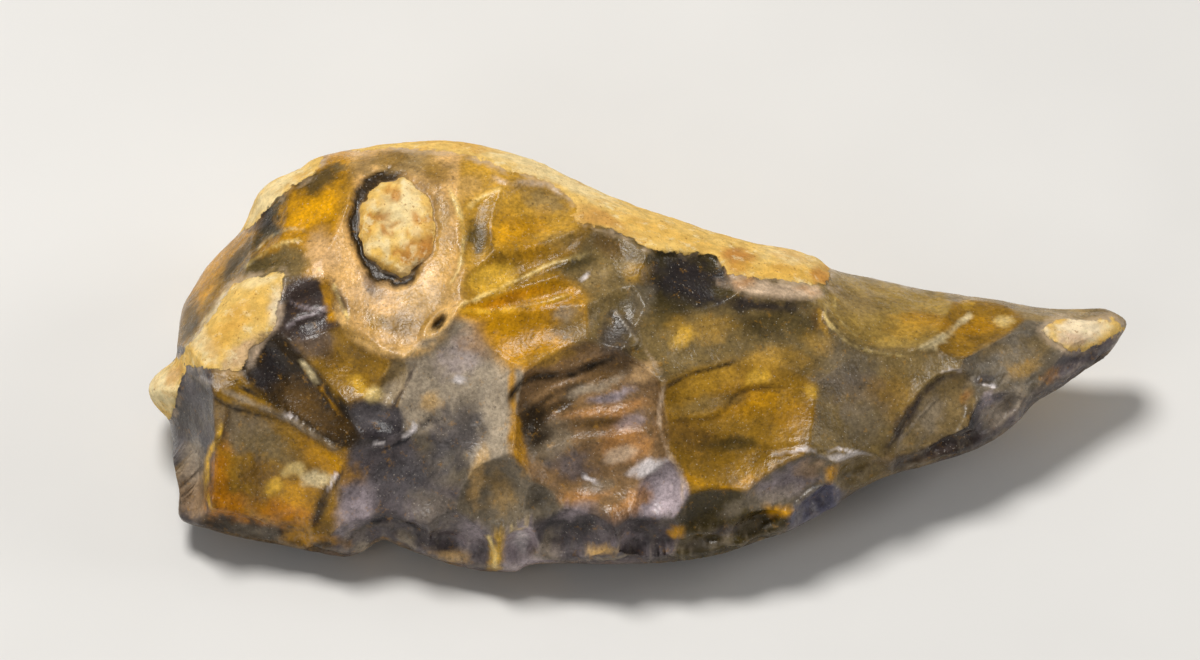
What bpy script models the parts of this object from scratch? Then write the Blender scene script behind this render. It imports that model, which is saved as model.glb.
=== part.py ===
"""A flaked flint hand axe lying on its underside, point towards +X, worked face towards -Y and up.

Lengths are in millimetres until the mesh is made. The worked face has its own axes: u runs from the
butt to the point, v runs up the face, and w stands out of it. The face leans back over the table.
"""

import math

import bmesh
import bpy
import numpy as np
from mathutils import Matrix

MM = 0.001
OBJECT_NAME = "stone_hand_axe"
NODE_NAME = "hand_axe"

# How far the worked face is tipped up from the table.
FACE_TILT = math.radians(42.0)
# The middle of the stone, taken off so that it sits over the origin.
MIDDLE_X = 0.2
MIDDLE_Y = 29.34

# How finely the surface is divided, and how much closer together the points are on the worked face.
RINGS = 66
SEGMENTS = 74
FACE_CROWDING = 0.3
FACE_BEARING = math.radians(120.0)

# The outline seen square to the worked face, clockwise from the knob at the butt: u, v.
OUTLINE = (
    (-70.6, 26.2), (-70.1, 27.6), (-68.8, 29.0), (-66.6, 30.6), (-66.3, 37.0), (-65.2, 39.8), (-62.8, 43.8),
    (-57.6, 49.4), (-55.4, 54.2), (-53.0, 56.6), (-49.0, 58.5), (-46.1, 60.0), (-38.0, 61.5),
    (-30.6, 62.2), (-23.3, 61.8), (-15.1, 59.4), (-5.5, 54.8), (4.1, 51.4), (10.8, 49.1),
    (16.7, 47.4), (21.9, 46.6), (26.2, 45.3), (28.5, 43.6), (35.9, 42.3), (44.8, 40.5),
    (52.2, 39.8), (59.6, 38.3), (67.4, 37.8), (69.6, 37.1), (71.0, 35.8), (70.2, 34.0),
    (67.9, 30.8), (65.2, 29.0), (61.4, 26.4), (57.4, 24.3), (55.0, 21.7), (51.6, 19.1),
    (46.3, 16.7), (35.4, 13.5), (29.2, 10.3), (28.3, 8.6), (18.5, 4.9), (9.5, 2.0), (-1.2, 1.3),
    (-14.2, 1.3), (-17.0, 0.2), (-20.5, -0.1), (-25.3, 0.9), (-33.7, 3.7), (-36.5, 4.9),
    (-39.9, 2.9), (-42.7, 2.3), (-51.6, 4.0), (-62.4, 6.2), (-65.7, 7.8), (-65.8, 12.0),
    (-66.9, 17.0), (-67.6, 21.4), (-69.1, 23.2), (-70.3, 24.8),
)
OUTLINE_PULL = 0.42
OUTLINE_STEPS = 5
FIELD_CELL = 0.4
FIELD_U = (-76.0, 76.0)
FIELD_V = (-8.0, 70.0)

# Sections along the stone: u, then v and w of the lower margin before its edge is rounded off,
# v and w of the crest, how far the face bulges, the height of the belly, and the reach of the far side.
SECTIONS = (
    (-72.0, 7.5, 5.0, 34.0, -4.0, 8.0, 4.0, 41.0),
    (-58.0, 5.0, 6.5, 50.0, -5.5, 8.5, 0.8, 55.5),
    (-45.0, 3.0, 7.8, 60.0, -5.0, 9.0, -0.5, 62.5),
    (-20.0, 1.0, 10.0, 61.0, -3.5, 9.0, -0.9, 62.0),
    (0.0, 1.3, 12.3, 52.5, -1.5, 8.0, -0.7, 53.0),
    (18.0, 4.7, 12.2, 47.0, -2.0, 7.0, 0.0, 47.5),
    (35.0, 13.3, 7.2, 42.4, -5.0, 5.5, 2.8, 44.0),
    (50.0, 18.0, 2.2, 39.8, -8.0, 4.0, 6.2, 41.0),
    (60.0, 26.0, -4.4, 37.8, -9.5, 2.5, 9.4, 38.5),
    (72.0, 33.5, -12.0, 37.2, -12.0, 1.0, 12.2, 38.0),
)
LOW_V, LOW_W, CREST_V, CREST_W, BULGE, BELLY, FAR_Y = range(1, 8)

LEAST_FACE_WIDTH = 6.0
BULGE_FULLNESS = 0.75
# The rounding of the edge grows from the lower margin to the crest, over shares of the way up the face.
LOW_EDGE_RADIUS = 6.0
CREST_RADIUS = 9.0
CREST_STARTS = 0.35
CREST_EASE = 0.4
BUTT_RADIUS = 7.0
BUTT_STARTS = -56.0
BUTT_EASE = 8.0
POINT_STARTS = 48.0
POINT_EASE = 20.0
POINT_SHARPNESS = 0.8
# Scars are shallower right at the lower margin: how near its edge, and how far up the face.
EDGE_FADE = 3.0
LOW_BAND = 0.25
LOW_BAND_EASE = 0.1
MARGIN_CURL = 13.0
CURL_LIMIT = 1.2
BELLY_MIDDLE = 33.0
BELLY_ROUND = 420.0
FAR_MIDDLE = 15.0
FAR_ROUND = 90.0
SHARP_BLEND = 1.0
ROUND_BLEND = 6.0
BLEND_STARTS = 0.2
BLEND_EASE = 0.4

# The points inside the stone from which its surface is reached: u, y, z.
SPINE = (
    (-48.0, 33.0, 17.0), (-20.0, 30.0, 17.0), (0.0, 25.5, 15.5), (20.0, 25.0, 13.5),
    (35.0, 27.5, 13.0), (50.0, 30.5, 13.6), (64.0, 32.4, 16.2),
)
SPINE_REACH = (20.0, 30.0, 17.0)
RAY_LENGTH = 3.0
HALVINGS = 24

# Flake scars of the worked face: u, v, half length, half width, heading, depth, steepness of the rim.
FACE_SCARS = (
    # The butt, from its end wall round to the fossil.
    (-67.5, 17.0, 16.0, 8.2, 88, 11.0, 1.0),
    (-51.5, 15.0, 14.5, 11.0, -28, 3.2, 1.3),
    (-55.0, 5.5, 14.0, 3.6, -12, 3.4, 1.0),
    (-47.3, 24.9, 11.6, 5.6, -50, 3.0, 1.4),
    (-45.9, 36.8, 6.0, 4.6, 35, 2.3, 1.2),
    (-41.5, 29.5, 10.0, 6.0, -35, 2.4, 1.2),
    (-35.2, 26.4, 5.0, 2.8, 65, 2.6, 1.0),
    (-62.0, 42.5, 14.0, 5.0, 55, 3.0, 1.2),
    (-53.2, 49.6, 7.0, 3.4, 60, 2.1, 1.0),
    (-46.2, 52.0, 8.6, 5.8, 60, 2.0, 1.2),
    (-51.5, 45.0, 6.5, 3.0, 15, 1.9, 1.0),
    (-34.5, 46.0, 16.0, 10.6, 92, 2.1, 1.5),
    # The middle, from the lower margin up to the crest.
    (-25.2, 25.0, 12.0, 9.6, 80, 3.3, 1.5),
    (-37.2, 22.6, 5.5, 3.6, -20, 2.8, 1.0),
    (-34.5, 13.0, 12.0, 8.4, 15, 3.3, 1.3),
    (-28.5, 16.5, 7.0, 6.4, 60, 3.3, 1.2),
    (-36.0, 4.5, 8.5, 5.0, 2, 4.1, 1.2),
    (-25.5, 4.0, 6.5, 5.5, -25, 3.7, 1.0),
    (-20.3, 11.0, 6.5, 6.0, 60, 3.3, 1.2),
    (-13.5, 10.0, 4.0, 4.0, 30, 3.2, 1.0),
    (-15.5, 50.5, 7.6, 5.6, 20, 2.1, 1.3),
    (-16.0, 43.8, 11.5, 4.2, 20, 2.1, 1.0),
    (-15.0, 39.0, 12.0, 3.4, 14, 2.1, 1.0),
    (-15.5, 34.0, 11.0, 5.4, 8, 2.6, 1.2),
    (-23.0, 50.0, 8.5, 3.6, 85, 1.7, 1.0),
    (-3.5, 36.0, 6.5, 4.6, 60, 2.5, 1.2),
    (-5.5, 43.6, 7.0, 5.5, 15, 2.1, 1.2),
    (-6.0, 20.5, 14.0, 11.8, 112, 4.6, 2.2),
    (2.5, 12.0, 6.5, 5.0, 75, 4.4, 1.0),
    # The side towards the point.
    (14.0, 22.5, 14.5, 11.6, 28, 3.5, 1.6),
    (15.0, 32.5, 22.0, 7.8, -3, 2.7, 1.3),
    (6.8, 41.0, 8.0, 5.6, -3, 2.4, 1.4),
    (34.0, 24.5, 14.0, 10.0, 25, 2.9, 1.3),
    (35.5, 38.0, 9.5, 7.2, -12, 2.6, 2.0),
    (48.0, 35.0, 7.0, 3.6, 25, 2.0, 1.2),
    (53.0, 28.8, 10.0, 4.8, 24, 2.1, 1.2),
    (62.5, 28.6, 6.5, 3.2, 42, 1.7, 1.0),
    (56.0, 39.6, 12.0, 2.2, -10, 1.3, 1.0),
    (42.5, 22.0, 9.0, 5.0, 50, 3.8, 1.5),
    (43.5, 17.5, 9.0, 3.0, 18, 3.8, 1.0),
    (51.5, 22.0, 5.5, 4.5, 60, 3.1, 1.0),
    (21.5, 12.5, 8.0, 4.0, 28, 3.8, 1.3),
    (25.5, 9.8, 5.0, 2.8, 32, 4.6, 1.0),
    (31.5, 14.5, 5.0, 4.0, 30, 3.4, 1.0),
    # Retouch along the lower margin.
    (10.5, 8.0, 7.0, 5.0, 30, 3.9, 1.0),
    (-9.5, 6.0, 6.5, 4.2, 5, 4.2, 1.2),
    (2.0, 5.5, 5.5, 3.8, 0, 4.5, 1.2),
    (-16.5, 4.0, 3.6, 3.0, 50, 3.9, 1.0),
    (9.0, 4.5, 5.0, 3.0, 12, 4.4, 1.0),
    (17.0, 7.0, 5.5, 3.0, 25, 4.2, 1.0),
)

# Runs of flake scars on the hidden sides: how many in each run, then from u to u, bearing at each end
# of the run, half length round the stone, half width along it, and depth.
RUN_COUNTS = (9, 7, 5, 3, 3)
HIDDEN_RUNS = (
    (-56.0, 44.0, 222.0, 214.0, 11.0, 7.5, 2.6),
    (-40.0, 50.0, 248.0, 240.0, 9.0, 8.0, 1.5),
    (26.0, 54.0, 330.0, 345.0, 6.5, 5.5, 1.5),
    (-30.0, 34.0, 308.0, 318.0, 9.0, 11.0, 2.0),
    (-66.0, -60.0, 330.0, 250.0, 9.0, 7.0, 2.4),
)
RUN_SWAY = 0.35
GOLDEN_TURN = 2.399963
# How a ray to a hidden scar leans along the stone, and how far it may reach.
RAY_LEAN = 12.0
RAY_REACH = 60.0


def clear_scene():
    for thing in list(bpy.data.objects):
        bpy.data.objects.remove(thing, do_unlink=True)


def smooth_through(x, knots_x, knots_y):
    """A smooth curve through the knots, flat beyond both ends."""
    knots_x = np.asarray(knots_x, float)
    knots_y = np.asarray(knots_y, float)
    slopes = np.gradient(knots_y, knots_x)
    x = np.clip(x, knots_x[0], knots_x[-1])
    before = np.clip(np.searchsorted(knots_x, x) - 1, 0, len(knots_x) - 2)
    after = before + 1
    span = knots_x[after] - knots_x[before]
    t = (x - knots_x[before]) / span
    return (
        knots_y[before] * (1 + 2 * t) * (1 - t) ** 2
        + knots_y[after] * t**2 * (3 - 2 * t)
        + slopes[before] * span * t * (1 - t) ** 2
        + slopes[after] * span * t**2 * (t - 1)
    )


def section(u, column):
    table = np.array(SECTIONS)
    return smooth_through(u, table[:, 0], table[:, column])


def smooth_max(a, b, blend):
    """The greater of two values, eased into one another where they are within the blend."""
    near = np.maximum(blend - np.abs(a - b), 0.0) / blend
    return np.maximum(a, b) + near**2 * blend / 4


def face_to_table(v, w):
    """Across and up over the table, from up and out of the worked face."""
    y = v * math.cos(FACE_TILT) - w * math.sin(FACE_TILT)
    z = v * math.sin(FACE_TILT) + w * math.cos(FACE_TILT)
    return y, z


def table_to_face(y, z):
    v = y * math.cos(FACE_TILT) + z * math.sin(FACE_TILT)
    w = z * math.cos(FACE_TILT) - y * math.sin(FACE_TILT)
    return v, w


def eased_outline():
    """The outline as a closed run of points with its corners slightly eased."""
    here = np.array(OUTLINE)
    after = np.roll(here, -1, axis=0)
    leaving = (after - np.roll(here, 1, axis=0)) * OUTLINE_PULL
    arriving = np.roll(leaving, -1, axis=0)
    runs = []
    for step in range(OUTLINE_STEPS):
        t = step / OUTLINE_STEPS
        runs.append(
            here * (1 + 2 * t) * (1 - t) ** 2
            + after * t**2 * (3 - 2 * t)
            + leaving * t * (1 - t) ** 2
            + arriving * t**2 * (t - 1)
        )
    return np.stack(runs, axis=1).reshape(-1, 2)


def outline_field():
    """Distance inside the outline over a grid of the face, negative outside."""
    ring = eased_outline()
    u, v = np.meshgrid(np.arange(*FIELD_U, FIELD_CELL), np.arange(*FIELD_V, FIELD_CELL))
    nearest = np.full(u.shape, np.inf)
    inside = np.zeros(u.shape, bool)
    for (u_a, v_a), (u_b, v_b) in zip(ring, np.roll(ring, -1, axis=0)):
        run, rise = u_b - u_a, v_b - v_a
        share = np.clip(((u - u_a) * run + (v - v_a) * rise) / (run**2 + rise**2), 0, 1)
        nearest = np.minimum(nearest, np.hypot(u - u_a - share * run, v - v_a - share * rise))
        if v_a != v_b:
            beside = u < u_a + (v - v_a) * run / rise
            inside ^= ((v_a > v) != (v_b > v)) & beside
    return np.where(inside, nearest, -nearest)


FIELD = outline_field()


def inside_outline(u, v):
    """Distance inside the outline, read from the grid."""
    rows, columns = FIELD.shape
    x = np.clip((u - FIELD_U[0]) / FIELD_CELL, 0, columns - 1.001)
    y = np.clip((v - FIELD_V[0]) / FIELD_CELL, 0, rows - 1.001)
    i, j = x.astype(int), y.astype(int)
    s, t = x - i, y - j
    low = FIELD[j, i] * (1 - s) + FIELD[j, i + 1] * s
    high = FIELD[j + 1, i] * (1 - s) + FIELD[j + 1, i + 1] * s
    return low * (1 - t) + high * t


def ramp(value, start, length):
    """0 up to the start, then rising to 1 over the length."""
    return np.clip((value - start) / length, 0, 1)


def share_up_face(u, v):
    """0 at the lower margin, 1 at the crest."""
    low, crest = section(u, LOW_V), section(u, CREST_V)
    return ramp(v, low, np.maximum(crest - low, LEAST_FACE_WIDTH))


def bluntness(u):
    """1 along most of the stone, less towards its point."""
    return 1 - POINT_SHARPNESS * ramp(u, POINT_STARTS, POINT_EASE)


def edge_radius(u, share):
    """How widely the edge is rounded: most along the crest, least towards the point."""
    radius = LOW_EDGE_RADIUS + (CREST_RADIUS - LOW_EDGE_RADIUS) * ramp(share, CREST_STARTS, CREST_EASE)
    radius = np.maximum(radius, BUTT_RADIUS * ramp(-u, -BUTT_STARTS, BUTT_EASE))
    return radius * bluntness(u)


def uncut_front(u, v, share, edge):
    """How far the stone stood out of the face plane before it was flaked."""
    plane = section(u, LOW_W) * (1 - share) + section(u, CREST_W) * share
    bulge = section(u, BULGE) * np.sin(math.pi * share) ** BULGE_FULLNESS
    radius = edge_radius(u, share)
    past = np.clip(1 - edge / radius, 0, 1)
    return plane + bulge - radius * (1 - np.sqrt(1 - past**2))


def uncut_back(u, v, w, share, edge):
    """Below zero inside the outline's wall, the far side and the belly, blended into one another."""
    y, z = face_to_table(v, w)
    margin_v = section(u, LOW_V)
    margin_w = section(u, LOW_W) - edge_radius(u, 0.0)
    margin_y, margin_z = face_to_table(margin_v, margin_w)
    belly = section(u, BELLY) + (y - BELLY_MIDDLE) ** 2 / BELLY_ROUND
    curl = np.clip(1 - (y - margin_y) / MARGIN_CURL, 0, CURL_LIMIT)
    under = belly + np.maximum(margin_z - belly, 0) * curl**2 - z
    far = y - section(u, FAR_Y) + (z - FAR_MIDDLE) ** 2 / FAR_ROUND
    blend = SHARP_BLEND + (ROUND_BLEND - SHARP_BLEND) * ramp(share, BLEND_STARTS, BLEND_EASE)
    blend = blend * bluntness(u)
    return smooth_max(smooth_max(-edge, far, blend), under, blend)


def face_scar(u, v, scar):
    """How deep one flake scar of the worked face goes at each point."""
    middle_u, middle_v, half_length, half_width, heading, depth, steepness = scar
    cosine, sine = math.cos(math.radians(heading)), math.sin(math.radians(heading))
    along = (u - middle_u) * cosine + (v - middle_v) * sine
    across = (v - middle_v) * cosine - (u - middle_u) * sine
    reach = (along / half_length) ** 2 + (across / half_width) ** 2
    return depth * (1 - reach**steepness)


def uncut(u, v, w):
    share = share_up_face(u, v)
    edge = inside_outline(u, v)
    return np.maximum(w - uncut_front(u, v, share, edge), uncut_back(u, v, w, share, edge))


def features(points, hidden_scars):
    """Each surface that bounds the stone, below zero inside it: skin, face scars, hidden scars, seat."""
    u, y, z = points
    v, w = table_to_face(y, z)
    share = share_up_face(u, v)
    edge = inside_outline(u, v)
    over_front = w - uncut_front(u, v, share, edge)
    yield np.maximum(over_front, uncut_back(u, v, w, share, edge))
    thin = 1 - ramp(share, LOW_BAND, LOW_BAND_EASE)
    fade = 1 - thin * (1 - ramp(edge, 0, EDGE_FADE))
    for scar in FACE_SCARS:
        yield over_front + face_scar(u, v, scar) * fade
    for middle, outward, sideways, half_length, half_width, depth in hidden_scars:
        offset = points - middle[:, None]
        across = sideways @ offset
        along = np.cross(outward, sideways) @ offset
        reach = (along / half_length) ** 2 + (across / half_width) ** 2
        yield outward @ offset + depth * (1 - reach)
    yield -z


def solid(points, hidden_scars):
    greatest = np.full(points.shape[1], -np.inf)
    for feature in features(points, hidden_scars):
        greatest = np.maximum(greatest, feature)
    return greatest


def rays(along, bearing):
    """Where each ray starts inside the stone and the way it goes; along is -1 at the butt, 1 at the point."""
    spine = np.array(SPINE)
    middle = (spine[0, 0] + spine[-1, 0]) / 2
    half = (spine[-1, 0] - spine[0, 0]) / 2
    u = middle + half * np.sin(along * math.pi / 2)
    start = np.stack([u] + [smooth_through(u, spine[:, 0], spine[:, k]) for k in (1, 2)])
    lengthways = along * np.abs(along)
    sideways = np.sqrt(1 - lengthways**2)
    bearing = bearing - FACE_CROWDING * np.sin(bearing - FACE_BEARING)
    way = np.stack([lengthways, sideways * np.cos(bearing), sideways * np.sin(bearing)])
    return start, way * np.array(SPINE_REACH)[:, None]


def surface(along, bearing, hidden_scars):
    """The point of the surface on each ray."""
    start, way = rays(along, bearing)
    near = np.zeros(along.shape)
    far = np.full(along.shape, RAY_LENGTH)
    for _ in range(HALVINGS):
        middle = (near + far) / 2
        inside = solid(start + way * middle, hidden_scars) < 0
        near = np.where(inside, middle, near)
        far = np.where(inside, far, middle)
    return start + way * near


def outward_of_skin(point):
    """The way the uncut skin faces at a point."""
    step = 0.5
    slopes = []
    for axis in np.eye(3):
        ahead, behind = point + axis * step, point - axis * step
        values = [uncut(p[:1], *table_to_face(p[1:2], p[2:3]))[0] for p in (ahead, behind)]
        slopes.append(values[0] - values[1])
    return np.array(slopes) / np.linalg.norm(slopes)


def place_hidden_scars():
    """The runs of scars on the far side, the underside and round the butt, set on the uncut skin."""
    spine = np.array(SPINE)
    scars = []
    for count, run in zip(RUN_COUNTS, HIDDEN_RUNS):
        first_u, last_u, first_bearing, last_bearing, half_length, half_width, depth = run
        for share in np.linspace(0, 1, count):
            sway = 1 + RUN_SWAY * math.sin(GOLDEN_TURN * (len(scars) + 1))
            u = first_u + (last_u - first_u) * share
            bearing = math.radians(first_bearing + (last_bearing - first_bearing) * share)
            start = np.array([smooth_through(u, spine[:, 0], spine[:, c]) for c in range(3)])
            way = np.array([(u - start[0]) / RAY_LEAN, math.cos(bearing), math.sin(bearing)])
            near, far = 0.0, RAY_REACH
            for _ in range(HALVINGS):
                middle = (near + far) / 2
                p = start + way * middle
                inside = uncut(p[:1], *table_to_face(p[1:2], p[2:3]))[0] < 0
                near, far = (middle, far) if inside else (near, middle)
            outward = outward_of_skin(start + way * near)
            lengthways = np.array([1.0, 0.0, 0.0]) - outward * outward[0]
            sideways = lengthways / np.linalg.norm(lengthways)
            scars.append(
                (start + way * near, outward, sideways, half_length * sway, half_width / sway, depth * sway)
            )
    return scars


def snap_to_ridges(along, bearing, hidden_scars):
    """Slides each point that is next to a ridge on to it, where two surfaces of the stone meet."""
    shape = along.shape
    points = surface(along.ravel(), bearing.ravel(), hidden_scars)
    values = np.stack(list(features(points, hidden_scars))).reshape(-1, *shape)
    owner = values.argmax(axis=0)
    rows, columns = np.indices(shape)
    own_value = values[owner, rows, columns]
    nearest = np.full(shape, 0.5)
    new_along, new_bearing = along.copy(), bearing.copy()
    for row_step, column_step in ((1, 0), (-1, 0), (0, 1), (0, -1)):
        other_rows = np.clip(rows + row_step, 0, shape[0] - 1)
        other_columns = (columns + column_step) % shape[1]
        other = owner[other_rows, other_columns]
        lead = own_value - values[other, rows, columns]
        lag = values[other, other_rows, other_columns] - values[owner, other_rows, other_columns]
        share = lead / np.maximum(lead + lag, 1e-9)
        closer = (other != owner) & (share < nearest)
        turn = (bearing[other_rows, other_columns] - bearing + math.pi) % (2 * math.pi) - math.pi
        slide = along[other_rows, other_columns] - along
        new_along = np.where(closer, along + slide * share, new_along)
        new_bearing = np.where(closer, bearing + turn * share, new_bearing)
        nearest = np.where(closer, share, nearest)
    return new_along, new_bearing


def split_along_surface(shape, hidden_scars):
    """Cuts each four-sided face along the diagonal that lies nearer to the true surface."""
    faces = [face for face in shape.faces if len(face.verts) == 4]
    corners = np.array([[vertex.co for vertex in face.verts] for face in faces]) / MM
    corners += np.array([MIDDLE_X, MIDDLE_Y, 0.0])
    off_surface = []
    for first in (0, 1):
        middles = (corners[:, first] + corners[:, first + 2]) / 2
        off_surface.append(np.abs(solid(middles.T, hidden_scars)))
    starts = np.where(off_surface[0] <= off_surface[1], 0, 1)
    for face, first in zip(faces, starts):
        bmesh.utils.face_split(face, face.verts[first], face.verts[first + 2])


def build_stone():
    """A sphere whose poles lie along the stone, with its points moved out on to the surface."""
    hidden_scars = place_hidden_scars()
    shape = bmesh.new()
    poles_along_x = Matrix.Rotation(math.radians(90.0), 4, "Y")
    bmesh.ops.create_uvsphere(
        shape, u_segments=SEGMENTS, v_segments=RINGS, radius=1.0, matrix=poles_along_x
    )
    shape.verts.ensure_lookup_table()
    ball = np.array([vertex.co for vertex in shape.verts])
    polar = np.arccos(np.clip(ball[:, 0], -1, 1)) / math.pi * RINGS
    turn = np.arctan2(ball[:, 2], ball[:, 1]) / (2 * math.pi) * SEGMENTS
    ring = np.rint(polar).astype(int)
    first_turn = turn[ring == 1].min()
    segment = np.rint(turn - first_turn).astype(int) % SEGMENTS
    pole = (ring == 0) | (ring == RINGS)

    ring_rows, segment_columns = np.indices((RINGS - 1, SEGMENTS))
    along = 1 - 2 * (ring_rows + 1.0) / RINGS
    bearing = 2 * math.pi * (segment_columns + first_turn) / SEGMENTS
    along, bearing = snap_to_ridges(along, bearing, hidden_scars)
    sides = surface(along.ravel(), bearing.ravel(), hidden_scars).T.reshape(RINGS - 1, SEGMENTS, 3)
    ends = surface(np.array([1.0, -1.0]), np.zeros(2), hidden_scars).T

    for vertex, row, column, at_pole in zip(shape.verts, ring, segment, pole):
        point = ends[0 if row == 0 else 1] if at_pole else sides[row - 1, column]
        vertex.co = (
            (point[0] - MIDDLE_X) * MM,
            (point[1] - MIDDLE_Y) * MM,
            point[2] * MM,
        )
    split_along_surface(shape, hidden_scars)
    bmesh.ops.recalc_face_normals(shape, faces=shape.faces)
    return shape


def flint_material():
    material = bpy.data.materials.new("flint")
    material.use_nodes = True
    shader = material.node_tree.nodes["Principled BSDF"]
    shader.inputs["Base Color"].default_value = (0.22, 0.17, 0.11, 1.0)
    shader.inputs["Roughness"].default_value = 0.35
    return material


def main():
    clear_scene()
    parts = bpy.data.collections.new(OBJECT_NAME)
    bpy.context.scene.collection.children.link(parts)
    shape = build_stone()
    mesh = bpy.data.meshes.new(NODE_NAME)
    shape.to_mesh(mesh)
    shape.free()
    mesh.materials.append(flint_material())
    mesh.shade_smooth()
    parts.objects.link(bpy.data.objects.new(NODE_NAME, mesh))


main()
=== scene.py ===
"""The looks of a flaked flint hand axe: the stone with its fine relief and colours, a pale floor, soft light.

Lengths are in millimetres until the mesh is made. The worked face has its own axes: u runs from the
butt to the point, v runs up the face, and w stands out of it. The face leans back over the floor.
"""

import itertools
import math

import bpy
import numpy as np
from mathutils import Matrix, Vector


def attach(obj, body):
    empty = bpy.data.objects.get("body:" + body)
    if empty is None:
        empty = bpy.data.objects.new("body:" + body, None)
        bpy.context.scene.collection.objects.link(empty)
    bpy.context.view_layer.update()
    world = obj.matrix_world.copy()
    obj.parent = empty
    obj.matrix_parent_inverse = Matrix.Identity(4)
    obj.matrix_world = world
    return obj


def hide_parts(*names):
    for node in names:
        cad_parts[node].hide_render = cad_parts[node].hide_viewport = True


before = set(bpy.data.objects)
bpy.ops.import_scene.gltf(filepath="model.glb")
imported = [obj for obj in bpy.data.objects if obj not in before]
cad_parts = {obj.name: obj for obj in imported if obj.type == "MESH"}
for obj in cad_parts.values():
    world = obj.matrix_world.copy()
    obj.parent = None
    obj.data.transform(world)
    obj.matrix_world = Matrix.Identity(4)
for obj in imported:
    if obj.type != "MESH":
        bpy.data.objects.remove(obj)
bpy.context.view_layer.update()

MM = 0.001
FACE_TILT = math.radians(42.0)
MIDDLE_X = 0.2
MIDDLE_Y = 29.34

# How finely the stone is divided, and how much closer together its points lie on the worked face.
RINGS = 430
SEGMENTS = 228
FACE_DENSITY = 2.6
GUIDE_RINGS = 96
GUIDE_SEGMENTS = 120
BACK_BEARING = math.radians(300.0)

# The outline seen square to the worked face, clockwise from the knob at the butt: u, v.
OUTLINE = (
    (-70.6, 26.2), (-70.1, 27.6), (-68.8, 29.0), (-66.6, 30.6), (-66.3, 37.0), (-65.2, 39.8), (-62.8, 43.8),
    (-57.6, 49.4), (-55.4, 54.2), (-53.0, 56.6), (-49.0, 58.5), (-46.1, 60.0), (-38.0, 61.5),
    (-30.6, 62.2), (-23.3, 61.8), (-15.1, 59.4), (-5.5, 54.8), (4.1, 51.4), (10.8, 49.1),
    (16.7, 47.4), (21.9, 46.6), (26.2, 45.3), (28.5, 43.6), (35.9, 42.3), (44.8, 40.5),
    (52.2, 39.8), (59.6, 38.3), (67.4, 37.8), (69.6, 37.1), (71.0, 35.8), (70.2, 34.0),
    (67.9, 30.8), (65.2, 29.0), (61.4, 26.4), (57.4, 24.3), (55.0, 21.7), (51.6, 19.1),
    (46.3, 16.7), (35.4, 13.5), (29.2, 10.3), (28.3, 8.6), (18.5, 4.9), (9.5, 2.0), (-1.2, 1.3),
    (-14.2, 1.3), (-17.0, 0.2), (-20.5, -0.1), (-25.3, 0.9), (-33.7, 3.7), (-36.5, 4.9),
    (-39.9, 2.9), (-42.7, 2.3), (-51.6, 4.0), (-62.4, 6.2), (-65.7, 7.8), (-65.8, 12.0),
    (-66.9, 17.0), (-67.6, 21.4), (-69.1, 23.2), (-70.3, 24.8),
)
OUTLINE_PULL = 0.42
OUTLINE_STEPS = 5
FIELD_CELL = 0.4
FIELD_U = (-76.0, 76.0)
FIELD_V = (-8.0, 70.0)

# Sections along the stone: u, then v and w of the lower margin before its edge is rounded off,
# v and w of the crest, how far the face bulges, the height of the belly, and the reach of the far side.
SECTIONS = (
    (-72.0, 7.5, 5.0, 34.0, -4.0, 8.0, 4.0, 41.0),
    (-58.0, 5.0, 6.5, 50.0, -5.5, 8.5, 0.8, 55.5),
    (-45.0, 3.0, 7.8, 60.0, -5.0, 9.0, -0.5, 62.5),
    (-20.0, 1.0, 10.0, 61.0, -3.5, 9.0, -0.9, 62.0),
    (0.0, 1.3, 12.3, 52.5, -1.5, 8.0, -0.7, 53.0),
    (18.0, 4.7, 12.2, 47.0, -2.0, 7.0, 0.0, 47.5),
    (35.0, 13.3, 7.2, 42.4, -5.0, 5.5, 2.8, 44.0),
    (50.0, 18.0, 2.2, 39.8, -8.0, 4.0, 6.2, 41.0),
    (60.0, 26.0, -4.4, 37.8, -9.5, 2.5, 9.4, 38.5),
    (72.0, 33.5, -12.0, 37.2, -12.0, 1.0, 12.2, 38.0),
)
LOW_V, LOW_W, CREST_V, CREST_W, BULGE, BELLY, FAR_Y = range(1, 8)

LEAST_FACE_WIDTH = 6.0
BULGE_FULLNESS = 0.75
# The rounding of the edge grows from the lower margin to the crest, over shares of the way up the face.
LOW_EDGE_RADIUS = 6.0
CREST_RADIUS = 9.0
CREST_STARTS = 0.35
CREST_EASE = 0.4
BUTT_RADIUS = 7.0
BUTT_STARTS = -56.0
BUTT_EASE = 8.0
POINT_STARTS = 48.0
POINT_EASE = 20.0
POINT_SHARPNESS = 0.8
# Scars are shallower right at the lower margin: how near its edge, and how far up the face.
EDGE_FADE = 3.0
LOW_BAND = 0.25
LOW_BAND_EASE = 0.1
MARGIN_CURL = 13.0
CURL_LIMIT = 1.2
BELLY_MIDDLE = 33.0
BELLY_ROUND = 420.0
FAR_MIDDLE = 15.0
FAR_ROUND = 90.0
SHARP_BLEND = 1.0
ROUND_BLEND = 6.0
BLEND_STARTS = 0.2
BLEND_EASE = 0.4

# The points inside the stone from which its surface is reached: u, y, z.
SPINE = (
    (-48.0, 33.0, 17.0), (-20.0, 30.0, 17.0), (0.0, 25.5, 15.5), (20.0, 25.0, 13.5),
    (35.0, 27.5, 13.0), (50.0, 30.5, 13.6), (64.0, 32.4, 16.2),
)
SPINE_REACH = (20.0, 30.0, 17.0)
RAY_LENGTH = 3.0
HALVINGS = 24

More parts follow.
